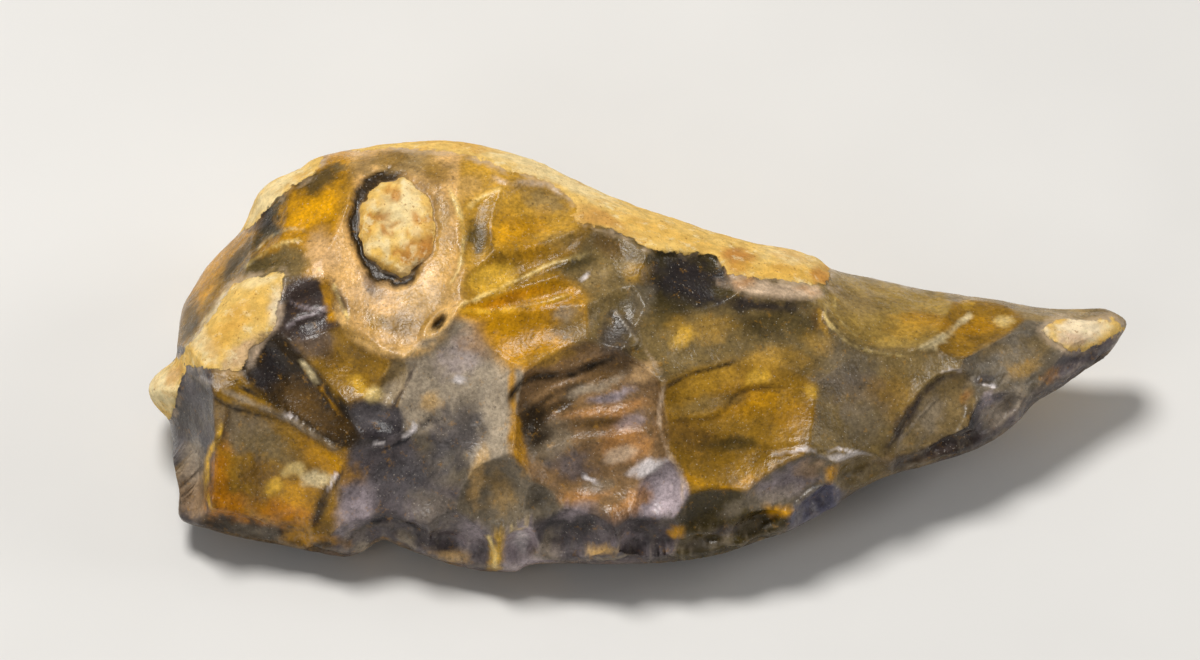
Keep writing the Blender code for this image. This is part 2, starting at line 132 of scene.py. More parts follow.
# The colours of the stone, red, green and blue from 0 to 255 as seen on a screen.
COLOURS = {
    "cortex": (236, 194, 108),
    "cream": (240, 218, 166),
    "tan": (216, 172, 104),
    "pinkish": (206, 166, 116),
    "pink_white": (208, 180, 150),
    "amber": (184, 130, 14),
    "bright_amber": (212, 150, 8),
    "yellow": (216, 168, 56),
    "orange": (170, 108, 6),
    "honey": (180, 136, 48),
    "olive": (116, 97, 60),
    "dark_olive": (66, 56, 30),
    "olive_amber": (140, 104, 32),
    "grey": (112, 101, 84),
    "pale_grey": (160, 145, 124),
    "violet_grey": (92, 84, 85),
    "light_violet": (166, 152, 156),
    # Pale violet: partly the flint's own violet-grey, partly painted sheen, the light reflected off dark
    # flint.
    "blue_grey": (78, 73, 74),
    "blue_black": (42, 38, 40),
    "dark_grey": (66, 59, 54),
    "violet_black": (62, 52, 48),
    "steel": (96, 94, 110),
    "brown_black": (50, 39, 24),
    "brown": (94, 69, 32),
    "rust": (172, 122, 70),
    "pale_yellow": (228, 198, 126),
    "skin_cream": (246, 224, 170),
    "skin_white": (246, 226, 190),
    "skin_gold": (232, 180, 80),
    "skin_pink": (206, 172, 140),
    "skin_rust": (190, 128, 58),
    # White: painted glints on ridges and small facets, partly the whitish bruising of the ridges.
    "white": (236, 226, 224),
    "ochre_grey": (142, 119, 78),
    "moon": (146, 119, 60),
    "ripple_brown": (126, 98, 66),
    "ring_tan": (204, 160, 98),
}

# Flake scars of the worked face:
# u, v, half length, half width, heading, depth, steepness of the rim, colour.
FACE_SCARS = (
    # The butt, from its end wall round to the fossil.
    (-67.5, 17.0, 16.0, 8.2, 88, 11.0, 1.0, "blue_grey"),
    (-51.5, 15.0, 14.5, 11.0, -28, 3.2, 1.3, "olive_amber"),
    (-55.0, 5.5, 14.0, 3.6, -12, 3.4, 1.0, "brown_black"),
    (-47.3, 24.9, 11.6, 5.6, -50, 3.0, 1.4, "brown_black"),
    (-45.9, 36.8, 6.0, 4.6, 35, 2.3, 1.2, "violet_black"),
    (-41.5, 29.5, 10.0, 6.0, -35, 2.4, 1.2, "olive_amber"),
    (-35.2, 26.4, 5.0, 2.8, 65, 2.6, 1.0, "ochre_grey"),
    (-62.0, 42.5, 14.0, 5.0, 55, 3.0, 1.2, "olive_amber"),
    (-53.2, 49.6, 7.0, 3.4, 60, 2.1, 1.0, "dark_olive"),
    (-46.2, 52.0, 8.6, 5.8, 60, 2.0, 1.2, "amber"),
    (-51.5, 45.0, 6.5, 3.0, 15, 1.9, 1.0, "olive"),
    (-34.5, 46.0, 16.0, 10.6, 92, 2.1, 1.5, "ring_tan"),
    # The middle, from the lower margin up to the crest.
    (-25.2, 25.0, 12.0, 9.6, 80, 3.3, 1.5, "pale_grey"),
    (-37.2, 22.6, 5.5, 3.6, -20, 2.8, 1.0, "blue_grey"),
    (-34.5, 13.0, 12.0, 8.4, 15, 3.3, 1.3, "violet_grey"),
    (-28.5, 16.5, 7.0, 6.4, 60, 3.3, 1.2, "grey"),
    (-36.0, 4.5, 8.5, 5.0, 2, 4.1, 1.2, "violet_grey"),
    (-25.5, 4.0, 6.5, 5.5, -25, 3.7, 1.0, "violet_grey"),
    (-20.3, 11.0, 6.5, 6.0, 60, 3.3, 1.2, "grey"),
    (-13.5, 10.0, 4.0, 4.0, 30, 3.2, 1.0, "grey"),
    (-15.5, 50.5, 7.6, 5.6, 20, 2.1, 1.3, "honey"),
    (-16.0, 43.8, 11.5, 4.2, 20, 2.1, 1.0, "olive_amber"),
    (-15.0, 39.0, 12.0, 3.4, 14, 2.1, 1.0, "amber"),
    (-15.5, 34.0, 11.0, 5.4, 8, 2.6, 1.2, "amber"),
    (-23.0, 50.0, 8.5, 3.6, 85, 1.7, 1.0, "honey"),
    (-3.5, 36.0, 6.5, 4.6, 60, 2.5, 1.2, "olive"),
    (-5.5, 43.6, 7.0, 5.5, 15, 2.1, 1.2, "olive"),
    (-6.0, 20.5, 14.0, 11.8, 112, 4.6, 2.2, "ripple_brown"),
    # The next facet's pale violet is a painted reflection of the light.
    (2.5, 12.0, 6.5, 5.0, 75, 4.4, 1.0, "light_violet"),
    # The side towards the point.
    (14.0, 22.5, 14.5, 11.6, 28, 3.5, 1.6, "olive_amber"),
    (15.0, 32.5, 22.0, 7.8, -3, 2.7, 1.3, "olive"),
    (6.8, 41.0, 8.0, 5.6, -3, 2.4, 1.4, "dark_olive"),
    (34.0, 24.5, 14.0, 10.0, 25, 2.9, 1.3, "olive"),
    (35.5, 38.0, 9.5, 7.2, -12, 2.6, 2.0, "moon"),
    (48.0, 35.0, 7.0, 3.6, 25, 2.0, 1.2, "olive_amber"),
    (53.0, 28.8, 10.0, 4.8, 24, 2.1, 1.2, "grey"),
    (62.5, 28.6, 6.5, 3.2, 42, 1.7, 1.0, "violet_grey"),
    (56.0, 39.6, 12.0, 2.2, -10, 1.3, 1.0, "ochre_grey"),
    (42.5, 22.0, 9.0, 5.0, 50, 3.8, 1.5, "ochre_grey"),
    (43.5, 17.5, 9.0, 3.0, 18, 3.8, 1.0, "violet_black"),
    (51.5, 22.0, 5.5, 4.5, 60, 3.1, 1.0, "violet_grey"),
    (21.5, 12.5, 8.0, 4.0, 28, 3.8, 1.3, "grey"),
    (25.5, 9.8, 5.0, 2.8, 32, 4.6, 1.0, "steel"),
    (31.5, 14.5, 5.0, 4.0, 30, 3.4, 1.0, "olive"),
    # Retouch along the lower margin.
    (10.5, 8.0, 7.0, 5.0, 30, 3.9, 1.0, "dark_olive"),
    (-9.5, 6.0, 6.5, 4.2, 5, 4.2, 1.2, "violet_grey"),
    (2.0, 5.5, 5.5, 3.8, 0, 4.5, 1.2, "violet_grey"),
    # The next retouch scar's pale violet is partly painted sheen.
    (-16.5, 4.0, 3.6, 3.0, 50, 3.9, 1.0, "light_violet"),
    (9.0, 4.5, 5.0, 3.0, 12, 4.4, 1.0, "dark_olive"),
    (17.0, 7.0, 5.5, 3.0, 25, 4.2, 1.0, "dark_olive"),
)

# Runs of flake scars on the hidden sides: how many in each run, then from u to u, bearing at each end
# of the run, half length round the stone, half width along it, and depth.
RUN_COUNTS = (9, 7, 5, 3, 3)
HIDDEN_RUNS = (
    (-56.0, 44.0, 222.0, 214.0, 11.0, 7.5, 2.6),
    (-40.0, 50.0, 248.0, 240.0, 9.0, 8.0, 1.5),
    (26.0, 54.0, 330.0, 345.0, 6.5, 5.5, 1.5),
    (-30.0, 34.0, 308.0, 318.0, 9.0, 11.0, 2.0),
    (-66.0, -60.0, 330.0, 250.0, 9.0, 7.0, 2.4),
)
RUN_SWAY = 0.35
GOLDEN_TURN = 2.399963
# How a ray to a hidden scar leans along the stone, and how far it may reach.
RAY_LEAN = 12.0
RAY_REACH = 60.0

# Lines of the face that have both relief and a colour of their own: u, v.
EDGES = {
    "notch_fold": ((-31.4, 30.2), (-33.0, 26.8), (-35.4, 22.6)),
    "ring_low": (
        (-43.9, 41.1), (-42.9, 38.4), (-41.6, 35.4), (-39.4, 32.9), (-36.0, 31.7), (-32.5, 31.5),
        (-29.4, 32.6), (-27.0, 35.0), (-26.6, 37.4),
    ),
    "ring_right": ((-27.4, 55.6), (-25.9, 52.2), (-24.8, 48.6), (-25.1, 46.0), (-25.6, 43.2), (-27.1, 41.0)),
    "butt_edge": ((-56.8, 43.6), (-54.0, 45.8), (-51.0, 47.2), (-47.6, 47.6)),
    "shoulder": ((-24.6, 52.0), (-22.0, 54.0), (-19.3, 55.2)),
    "crest_scar_top": ((-26.2, 37.9), (-21.7, 39.9), (-16.5, 42.3), (-12.0, 44.3), (-6.6, 45.9)),
    "crest_scar_low": ((-25.8, 37.4), (-19.7, 37.6), (-13.7, 38.7), (-9.2, 40.0)),
    "ripples_right": (
        (0.9, 32.4), (2.5, 29.9), (3.7, 27.8), (3.1, 23.6), (3.3, 20.2), (4.5, 16.9), (6.1, 14.1),
        (6.4, 7.7),
    ),
    "point_side": ((27.1, 39.0), (26.9, 36.6), (28.6, 34.2), (30.9, 32.5), (34.0, 31.6), (38.4, 31.1)),
    "point_side_fold": ((28.6, 40.4), (28.3, 37.6), (29.8, 35.2), (32.0, 33.4)),
    "low_near_point": ((37.2, 18.6), (40.5, 22.4), (43.6, 25.6)),
    "notch_side": ((-21.6, 5.6), (-20.7, 2.8), (-20.3, 0.4)),
    "notch_top": ((-19.2, 5.7), (-17.4, 6.4), (-15.7, 7.1)),
    "middle_edge": ((-3.2, 37.6), (-1.6, 35.2), (0.2, 32.9)),
}

# Where one part of the face stands over the next: height, how far it falls back, and the edge as u, v
# with the higher ground to its left.
STEPS = (
    # The overhang at the top of the rippled scar, and the steps under it.
    (0.8, 3.0, ((-18.9, 23.4), (-17.6, 26.6), (-14.9, 28.5), (-9.6, 28.9), (-5.6, 30.7), (-1.6, 31.8),
                (0.8, 32.8))),
    (0.4, 1.6, ((-16.6, 21.4), (-13.6, 25.0), (-10.4, 26.6), (-6.2, 28.0))),
    # Hinges in the amber scar.
    (0.35, 2.0, ((3.1, 26.2), (7.2, 28.5), (10.9, 29.4), (14.1, 30.6))),
    (0.45, 3.0, ((3.3, 22.1), (8.1, 22.1), (11.8, 23.0), (14.1, 25.8), (17.8, 26.8), (21.4, 26.7))),
    (0.3, 3.0, ((9.5, 19.6), (16.0, 18.6), (20.0, 18.2), (25.0, 18.9))),
    # The long curved wall near the point, and the small one beside it.
    (1.1, 3.5, ((35.6, 17.6), (38.0, 22.2), (40.2, 25.4), (42.5, 27.8), (45.4, 28.9), (48.4, 28.4))),
    (0.5, 1.5, ((48.8, 27.4), (50.4, 27.3), (51.8, 26.5))),
    # The strip over the amber dish at the butt.
    (0.6, 2.5, ((-63.0, 27.8), (-58.6, 24.2), (-55.4, 23.8), (-50.6, 22.3), (-45.6, 19.2), (-41.4, 16.4))),
    (0.3, 2.0, ((-37.9, 26.6), (-35.4, 28.4), (-32.4, 31.0))),
    # The arch over the notch.
    (0.9, 2.0, ((-43.0, 4.2), (-40.6, 6.4), (-37.8, 7.9), (-35.2, 8.3), (-32.2, 7.2), (-29.6, 5.0))),
    # The skin's lower border along the crest.
    (0.5, 2.5, ((-22.4, 57.4), (-18.4, 55.5), (-16.5, 56.0), (-13.0, 55.6), (-10.4, 53.6), (-9.0, 51.2))),
    (0.5, 3.0, ((-9.4, 50.6), (-4.8, 49.5), (-1.4, 48.1), (1.7, 46.2), (6.0, 45.6), (10.7, 45.5),
                (12.3, 43.6), (13.2, 41.3), (15.6, 40.2), (19.5, 39.1), (24.2, 38.8), (27.2, 39.6))),
    (0.4, 1.6, ((-16.3, 11.8), (-15.8, 8.0), (-12.6, 9.2), (-11.2, 11.4))),
)

# Narrow ridges, or cracks where the height is below zero: height, half width, and the line.
RIDGES = (
    (0.9, 0.7, ((-58.6, 24.4), (-59.2, 20.6), (-61.0, 17.8), (-61.6, 14.0), (-61.1, 11.2), (-59.6, 8.4))),
    (-0.4, 0.4, ((-58.0, 27.0), (-54.4, 25.4), (-50.5, 23.3), (-46.2, 20.6), (-43.2, 18.7), (-40.4, 17.8))),
    (-0.35, 0.4, ((-38.8, 17.3), (-36.0, 17.9), (-33.4, 19.2), (-31.0, 21.0), (-28.5, 23.2))),
    (0.3, 0.5, ((-37.4, 18.3), (-34.0, 19.9), (-31.6, 21.8))),
    (-0.3, 0.4, EDGES["notch_fold"]),
    (0.4, 0.6, EDGES["crest_scar_top"]),
    (0.4, 0.6, EDGES["crest_scar_low"]),
    (0.45, 0.5, EDGES["ring_right"]),
    (0.4, 1.3, EDGES["ring_low"]),
    (0.35, 0.5, EDGES["shoulder"]),
    (0.35, 0.8, ((-12.0, 22.6), (-7.6, 24.7), (-3.4, 25.6), (1.2, 25.4))),
    (0.2, 0.7, ((-13.0, 19.0), (-8.0, 21.4), (-3.0, 22.2), (2.2, 21.8))),
    (0.25, 0.5, EDGES["point_side"]),
    (0.15, 0.4, EDGES["point_side_fold"]),
    (0.4, 0.5, ((18.9, 16.9), (23.6, 17.9), (27.8, 17.7), (32.4, 16.7))),
    (-0.3, 0.4, ((21.9, 10.2), (24.6, 12.4), (27.6, 13.4))),
    (0.35, 0.6, ((-50.3, 39.1), (-47.5, 38.0), (-45.5, 37.6), (-43.6, 38.0))),
    (0.4, 0.7, ((-50.3, 34.6), (-48.6, 36.1), (-46.8, 36.8), (-44.7, 36.8))),
    (0.3, 0.4, EDGES["ripples_right"]),
    (0.3, 0.5, ((-48.4, 30.8), (-46.6, 28.8), (-45.2, 26.8), (-43.4, 24.4))),
    (0.25, 0.4, EDGES["butt_edge"]),
    (0.2, 0.4, ((-55.2, 45.8), (-52.4, 48.4), (-50.0, 49.2))),
    (0.5, 0.7, EDGES["notch_side"]),
    (0.35, 0.5, EDGES["notch_top"]),
    (0.3, 0.5, ((38.8, 31.4), (42.0, 33.0), (44.8, 34.8), (48.4, 36.8))),
    (0.35, 0.5, EDGES["middle_edge"]),
    (0.2, 0.4, EDGES["low_near_point"]),
)

# Small flakes off the face: u, v, half length, half width, heading, depth.
CHIPS = (
    (-8.6, 12.6, 4.2, 1.6, 10, 0.4),
    (-5.0, 9.0, 3.6, 2.0, 5, 0.5),
    (-11.6, 4.0, 3.0, 1.8, 10, 0.6),
    (-6.4, 3.4, 2.6, 1.5, 0, 0.6),
    (-0.6, 3.4, 2.4, 1.5, 0, 0.5),
    (4.6, 4.4, 2.4, 1.7, 20, 0.6),
    (13.0, 5.4, 3.0, 1.6, 20, 0.6),
    (16.6, 9.6, 2.4, 1.6, 30, 0.5),
    (22.4, 7.6, 2.4, 1.4, 25, 0.5),
    (33.6, 14.0, 2.6, 1.4, 20, 0.5),
    (40.8, 16.6, 3.6, 1.3, 18, 0.5),
    (47.6, 19.2, 2.8, 1.6, 30, 0.5),
    (53.0, 23.6, 2.4, 1.6, 50, 0.5),
    (50.4, 24.2, 2.2, 1.5, 20, 0.4),
    (47.2, 24.2, 2.0, 3.0, 30, 0.4),
    (57.6, 27.0, 2.4, 1.4, 40, 0.4),
    (62.6, 29.6, 2.6, 1.3, 42, 0.3),
    (-24.0, 3.4, 2.6, 1.6, -20, 0.5),
    (-29.4, 4.4, 2.2, 1.5, -20, 0.5),
    (-33.4, 5.6, 2.2, 1.2, -30, 0.5),
    (-39.0, 4.6, 1.8, 1.1, 30, 0.4),
    (-47.6, 4.6, 3.0, 1.2, -10, 0.4),
    (-54.6, 5.8, 3.4, 1.2, -12, 0.4),
    (-61.4, 7.6, 3.0, 1.4, -14, 0.5),
    (-64.6, 12.4, 1.6, 2.8, 0, 0.3),
    (-64.6, 19.4, 1.6, 3.2, 0, 0.3),
    (-22.4, 24.0, 3.4, 2.2, 60, 0.25),
    (-27.6, 12.6, 4.6, 2.6, 30, 0.3),
    (1.2, 43.2, 3.0, 2.2, 20, 0.25),
    (-9.4, 47.0, 2.6, 1.6, 10, 0.25),
    (60.6, 34.4, 2.0, 1.2, 10, 0.3),
    (52.8, 36.8, 3.2, 1.0, 0, 0.3),
    (42.6, 39.4, 4.0, 1.0, -10, 0.2),
    (48.2, 24.8, 2.6, 1.4, 50, 0.4),
    (51.8, 27.0, 2.2, 1.2, 30, 0.35),
    (54.2, 24.6, 2.4, 1.2, 45, 0.4),
    (46.4, 21.2, 2.4, 1.2, 60, 0.4),
    (50.2, 20.8, 2.2, 1.2, 30, 0.35),
    (57.8, 26.8, 2.2, 1.0, 40, 0.35),
)

# The fossil in the face: middle, half sizes and lean, the gap round it and where the gap runs.
FOSSIL_U = -34.5
FOSSIL_V = 49.5
FOSSIL_HALF = (7.0, 5.6)
FOSSIL_LEAN = 96
GAP_WIDTH = 1.1
GAP_DEPTH = 1.1
GAP_BEARING = math.radians(190.0)

# How far the fossil's rim wanders, the cosines of the bearing over which the gap opens, the gap's least
# depth as a share, and its crumbs: their height and the millimetres inside the rim over which they begin.
RIM_WANDER = 0.9
GAP_OPENS = (-0.55, 0.25)
GAP_LEAST = 0.35
CRUMB_HEIGHT = 0.6
CRUMB_BEGINS = (0.0, 1.6)

# The slot in the ring below the fossil: middle, half sizes and heading, its depth, how far out its side
# ends, and the place, half width and height of the rim round it, in shares of the slot's half size.
SLOT = (-28.3, 35.7, 1.5, 0.6, 45)
SLOT_DEPTH = 1.3
SLOT_SIDE = 1.2
SLOT_RIM, SLOT_RIM_HALF = 1.9, 0.9
SLOT_RIM_HEIGHT = 0.4

# Half the width of a step's jump, in millimetres, how hollow a ridge's sides are, and how soon the ends of
# a line fade.
STEP_HALF = 0.25
RIDGE_HOLLOW = 1.3
END_FADE = 2.5

# Skin left on the worked face, as closed outlines: u, v.
SKIN_PATCHES = (
    ((-66.4, 30.2), (-65.0, 31.6), (-62.6, 34.6), (-60.4, 37.6), (-58.2, 41.2), (-54.0, 42.4), (-50.6, 42.8),
     (-50.8, 40.4), (-51.4, 37.6), (-51.6, 35.2), (-53.4, 33.4), (-55.4, 31.4), (-56.4, 29.0), (-58.6, 29.2),
     (-61.6, 29.3)),
    ((-72.0, 26.0), (-70.6, 28.6), (-66.2, 30.8), (-64.8, 29.4), (-65.9, 26.4), (-66.6, 23.6), (-67.6, 21.8),
     (-69.6, 23.6)),
    ((-24.6, 63.0), (-22.8, 59.8), (-18.6, 57.6), (-13.3, 56.4), (-10.0, 54.2), (-8.8, 52.2), (-9.4, 50.6),
     (-4.8, 49.6), (-1.4, 48.2), (1.7, 46.3), (6.0, 45.7), (10.7, 45.6), (12.3, 43.7), (13.6, 42.6),
     (19.5, 42.0), (26.9, 41.4), (28.0, 44.1), (27.6, 48.0), (8.0, 56.0), (-12.0, 64.0)),
    ((-60.0, 49.4), (-56.0, 49.6), (-53.2, 52.8), (-50.4, 55.2), (-46.8, 57.4), (-45.8, 60.6), (-52.0, 60.0),
     (-58.0, 55.0)),
    ((58.4, 34.6), (60.0, 36.0), (62.8, 36.4), (65.5, 36.0), (69.0, 36.4), (70.5, 35.0), (67.0, 32.8),
     (65.0, 32.0), (62.6, 31.8), (60.6, 32.8)),
    ((-42.0, 66.0), (-41.4, 61.0), (-36.0, 61.2), (-30.0, 60.8), (-25.0, 60.2), (-22.0, 59.6), (-22.0, 66.0)),
)

# How far the skin stands out and how thick it is, the millimetres at its border over which it begins, and
# how far outside and inside its border still counts.
SKIN_RISE = 0.3
SKIN_DEPTH = 1.1
SKIN_EDGE = (-0.3, 0.3)
NO_SKIN, FULL_SKIN = 6.0, 4.0

# On the hidden sides the skin ends where scars cut this deep; its border there is this steep and wanders
# this far, and it begins over this share of the way up from the lower margin.
HIDDEN_CUT = 0.15
HIDDEN_STEEPNESS = 4.0
HIDDEN_WANDER = 0.3
HIDDEN_BEGINS = (0.15, 0.35)

# How the listed lines and patches are rounded: the pull on their slopes, and the parts of each length.
LINE_PULL, LINE_PARTS = 0.5, 5
PATCH_PULL, PATCH_PARTS = 0.4, 3

# How far, in millimetres of depth, the colours of neighbouring scars run into one another, and how unevenly.
COLOUR_BLEED = 0.22
BLEED_WARP = 0.25

# Noises: the width of their lumps in millimetres, their seed and, for most, how many layers lie over another.
WARP_U, WARP_V = (5.0, 11, 5), (5.0, 23, 5)
RAGGED, BROKEN, GRAINS, CLOUDY = (2.4, 29, 4), (1.8, 37, 3), (0.9, 131, 2), (9.0, 31, 4)
BLEED_SIZE, BLEED_SEED, BLEED_LAYERS = 2.6, 101, 2
FOSSIL_RIM, FOSSIL_CRUMBS = (2.4, 43, 4), (1.4, 139, 3)
RIPPLE_BENDS = (7.0, 149, 2)
LUMPS, FINE_LUMPS, SKIN_PITS = (6.0, 71, 2), (1.6, 79, 2), (1.5, 83, 3)
COARSE_CHIPS, SMALL_CHIPS = (4.4, 157), (2.1, 163)
HIDDEN_BORDER = (5.0, 3)

# How far colours are pushed about, and where soft patches and streaks fade, in shares of their half size;
# then how far noise moves their edges, how far out a patch is reckoned, and how broken a streak is.
WARP = 1.3
STREAK_WARP = 0.25
BLOT_FADE = (0.4, 1.35)
STREAK_FADE = (0.1, 1.1)
BLOT_RAGGED, BLOT_GRAIN, STREAK_GRAIN = 0.5, 0.4, 0.25
BLOT_REACH = 2.6
STREAK_LEAST = 0.25
STREAK_BREAKS = (-0.35, 0.3)
CLOUD_STRENGTH, BROKEN_STRENGTH = 0.2, 0.15

# The ripples of the middle scar: their centre, the rings and the values of u and of -u between which they
# fade in or out, how far their rings wander, their spacing and their height.
RIPPLE_CENTRE = (-2.0, 3.0)
RIPPLE_INNER, RIPPLE_OUTER = (13, 17), (26, 29)
RIPPLE_LEFT, RIPPLE_RIGHT = (-17, -13), (-3, 0)
RIPPLE_WANDER = 1.6
RIPPLE_LENGTH = 3.9
RIPPLE_HEIGHT = 0.2

# The small chips of the lower margin: how far from the edge, up the face and along the stone they fade.
WORN_EDGE = (2.0, 7.0)
WORN_SHARE = (0.12, 0.35)
WORN_ALONG = (-62.0, -54.0)

# Heights of the noise that moves the surface: lumps, fine lumps, pits of the skin, chips of the margin.
LUMP_HEIGHT, FINE_HEIGHT, PIT_HEIGHT, CHIP_HEIGHT = 0.22, 0.07, 0.12, 0.45

# The cosine between the surface and the worked face at which the face's own colours begin, how much lower
# it is at the butt, the values of -u over which it falls, and how much further on the colours are full.
FACE_TURN, BUTT_TURN = -0.1, 0.2
BUTT_TURN_ENDS = (42.0, 54.0)
FACE_TURN_EASE = 0.25

# The same cosine, and the millimetres inside the outline, over which the fine relief begins.
RELIEF_TURN, RELIEF_EDGE = (0.2, 0.6), (0.0, 1.2)

# The longest triangle side beside a point, in millimetres, over which the finest detail fades out.
FINE_SIDES = (1.2, 2.4)

# The mesh's rows are spaced by the part of the stone whose bearing is this far from the back, as a cosine;
# its columns lie closer from this lean towards the front on, and are evened out this many times.
FRONT_TURN = -0.2
DENSE_STARTS, DENSE_EASE = 0.3, 0.25
COLUMN_SMOOTHING = 24

# The step, in millimetres, at which the uncut skin's slope is taken.
SLOPE_STEP = 0.5

# The whole numbers that turn a corner of the noise's cells into its value, how far each seed shifts the
# cells, and how strong each layer of noise is beside the one above it.
CORNER_KEYS = (73856093, 19349663, 83492791)
SEED_KEY = 40503
SEED_SHIFT = 17.3
LAYER_STRENGTH = 0.55
MIX_ROUNDS = ((13, 1274126177), (15, 2246822519))

# Clouds of colour on the sides that the photographed face hides: size, seed, where they start, colour.
FLINT_CLOUDS = (
    (16.0, 41, 0.0, "olive"), (11.0, 47, 0.1, "olive_amber"), (7.0, 53, 0.2, "amber"),
    (9.0, 59, 0.15, "blue_grey"), (5.0, 61, 0.3, "ochre_grey"),
)
SKIN_CLOUDS = (
    (18.0, 167, 0.0, "skin_gold"), (12.0, 173, 0.1, "skin_cream"), (7.0, 179, 0.2, "tan"),
    (4.0, 181, 0.3, "skin_rust"),
)

# Flecks: size, detail and roughness of their noise, where they start and are full, strength, colour.
FLINT_FLECKS = (
    (1.3, 5.0, 0.7, 0.57, 0.72, 0.34, (190, 136, 44)),
    (0.8, 4.0, 0.7, 0.57, 0.72, 0.5, (34, 28, 22)),
    # The pale flecks of the flint are painted sparkle: tiny glints.
    (0.3, 2.0, 0.5, 0.66, 0.76, 0.4, (226, 214, 196)),
)
SKIN_FLECKS = (
    (6.0, 5.0, 0.65, 0.5, 0.68, 0.5, (212, 156, 70)),
    (2.2, 5.0, 0.7, 0.54, 0.68, 0.55, (250, 232, 182)),
    (0.6, 4.0, 0.7, 0.58, 0.7, 0.7, (150, 92, 34)),
)
RIND_COLOUR = (206, 180, 148)
FLINT_IOR = 1.5
FLINT_SPECULAR = 0.26
SKIN_ROUGHNESS = 0.9
BUMP_STRENGTH, BUMP_METRES = 0.7, 0.00035

# The camera's picture: width and middle on the worked face in millimetres, then lens and sensor.
PICTURE_WIDTH = 172.3
PICTURE_U, PICTURE_V = -5.4, 34.75
LENS, SENSOR = 220.0, 36.0

# Lights: name, place and size in metres, watts, colour.
LIGHTS = (
    ("key", (-0.24, 0.18, 0.95), 0.36, 8.4, (1.0, 0.98, 0.95)),
    ("fill", (-0.5, -0.8, 0.6), 0.7, 1.6, (1.0, 1.0, 1.0)),
    ("side", (0.8, 0.1, 0.5), 0.4, 1.4, (1.0, 0.99, 0.97)),
)
LIGHT_TARGET = (0.0, 0.0, 0.02)
ROOM_STRENGTH = 0.18
FLOOR_HALF = 1.6
FLOOR_SHADES = ((0.72, 0.71, 0.69, 1), (0.75, 0.74, 0.72, 1))
FLOOR_ROUGHNESS = 0.7
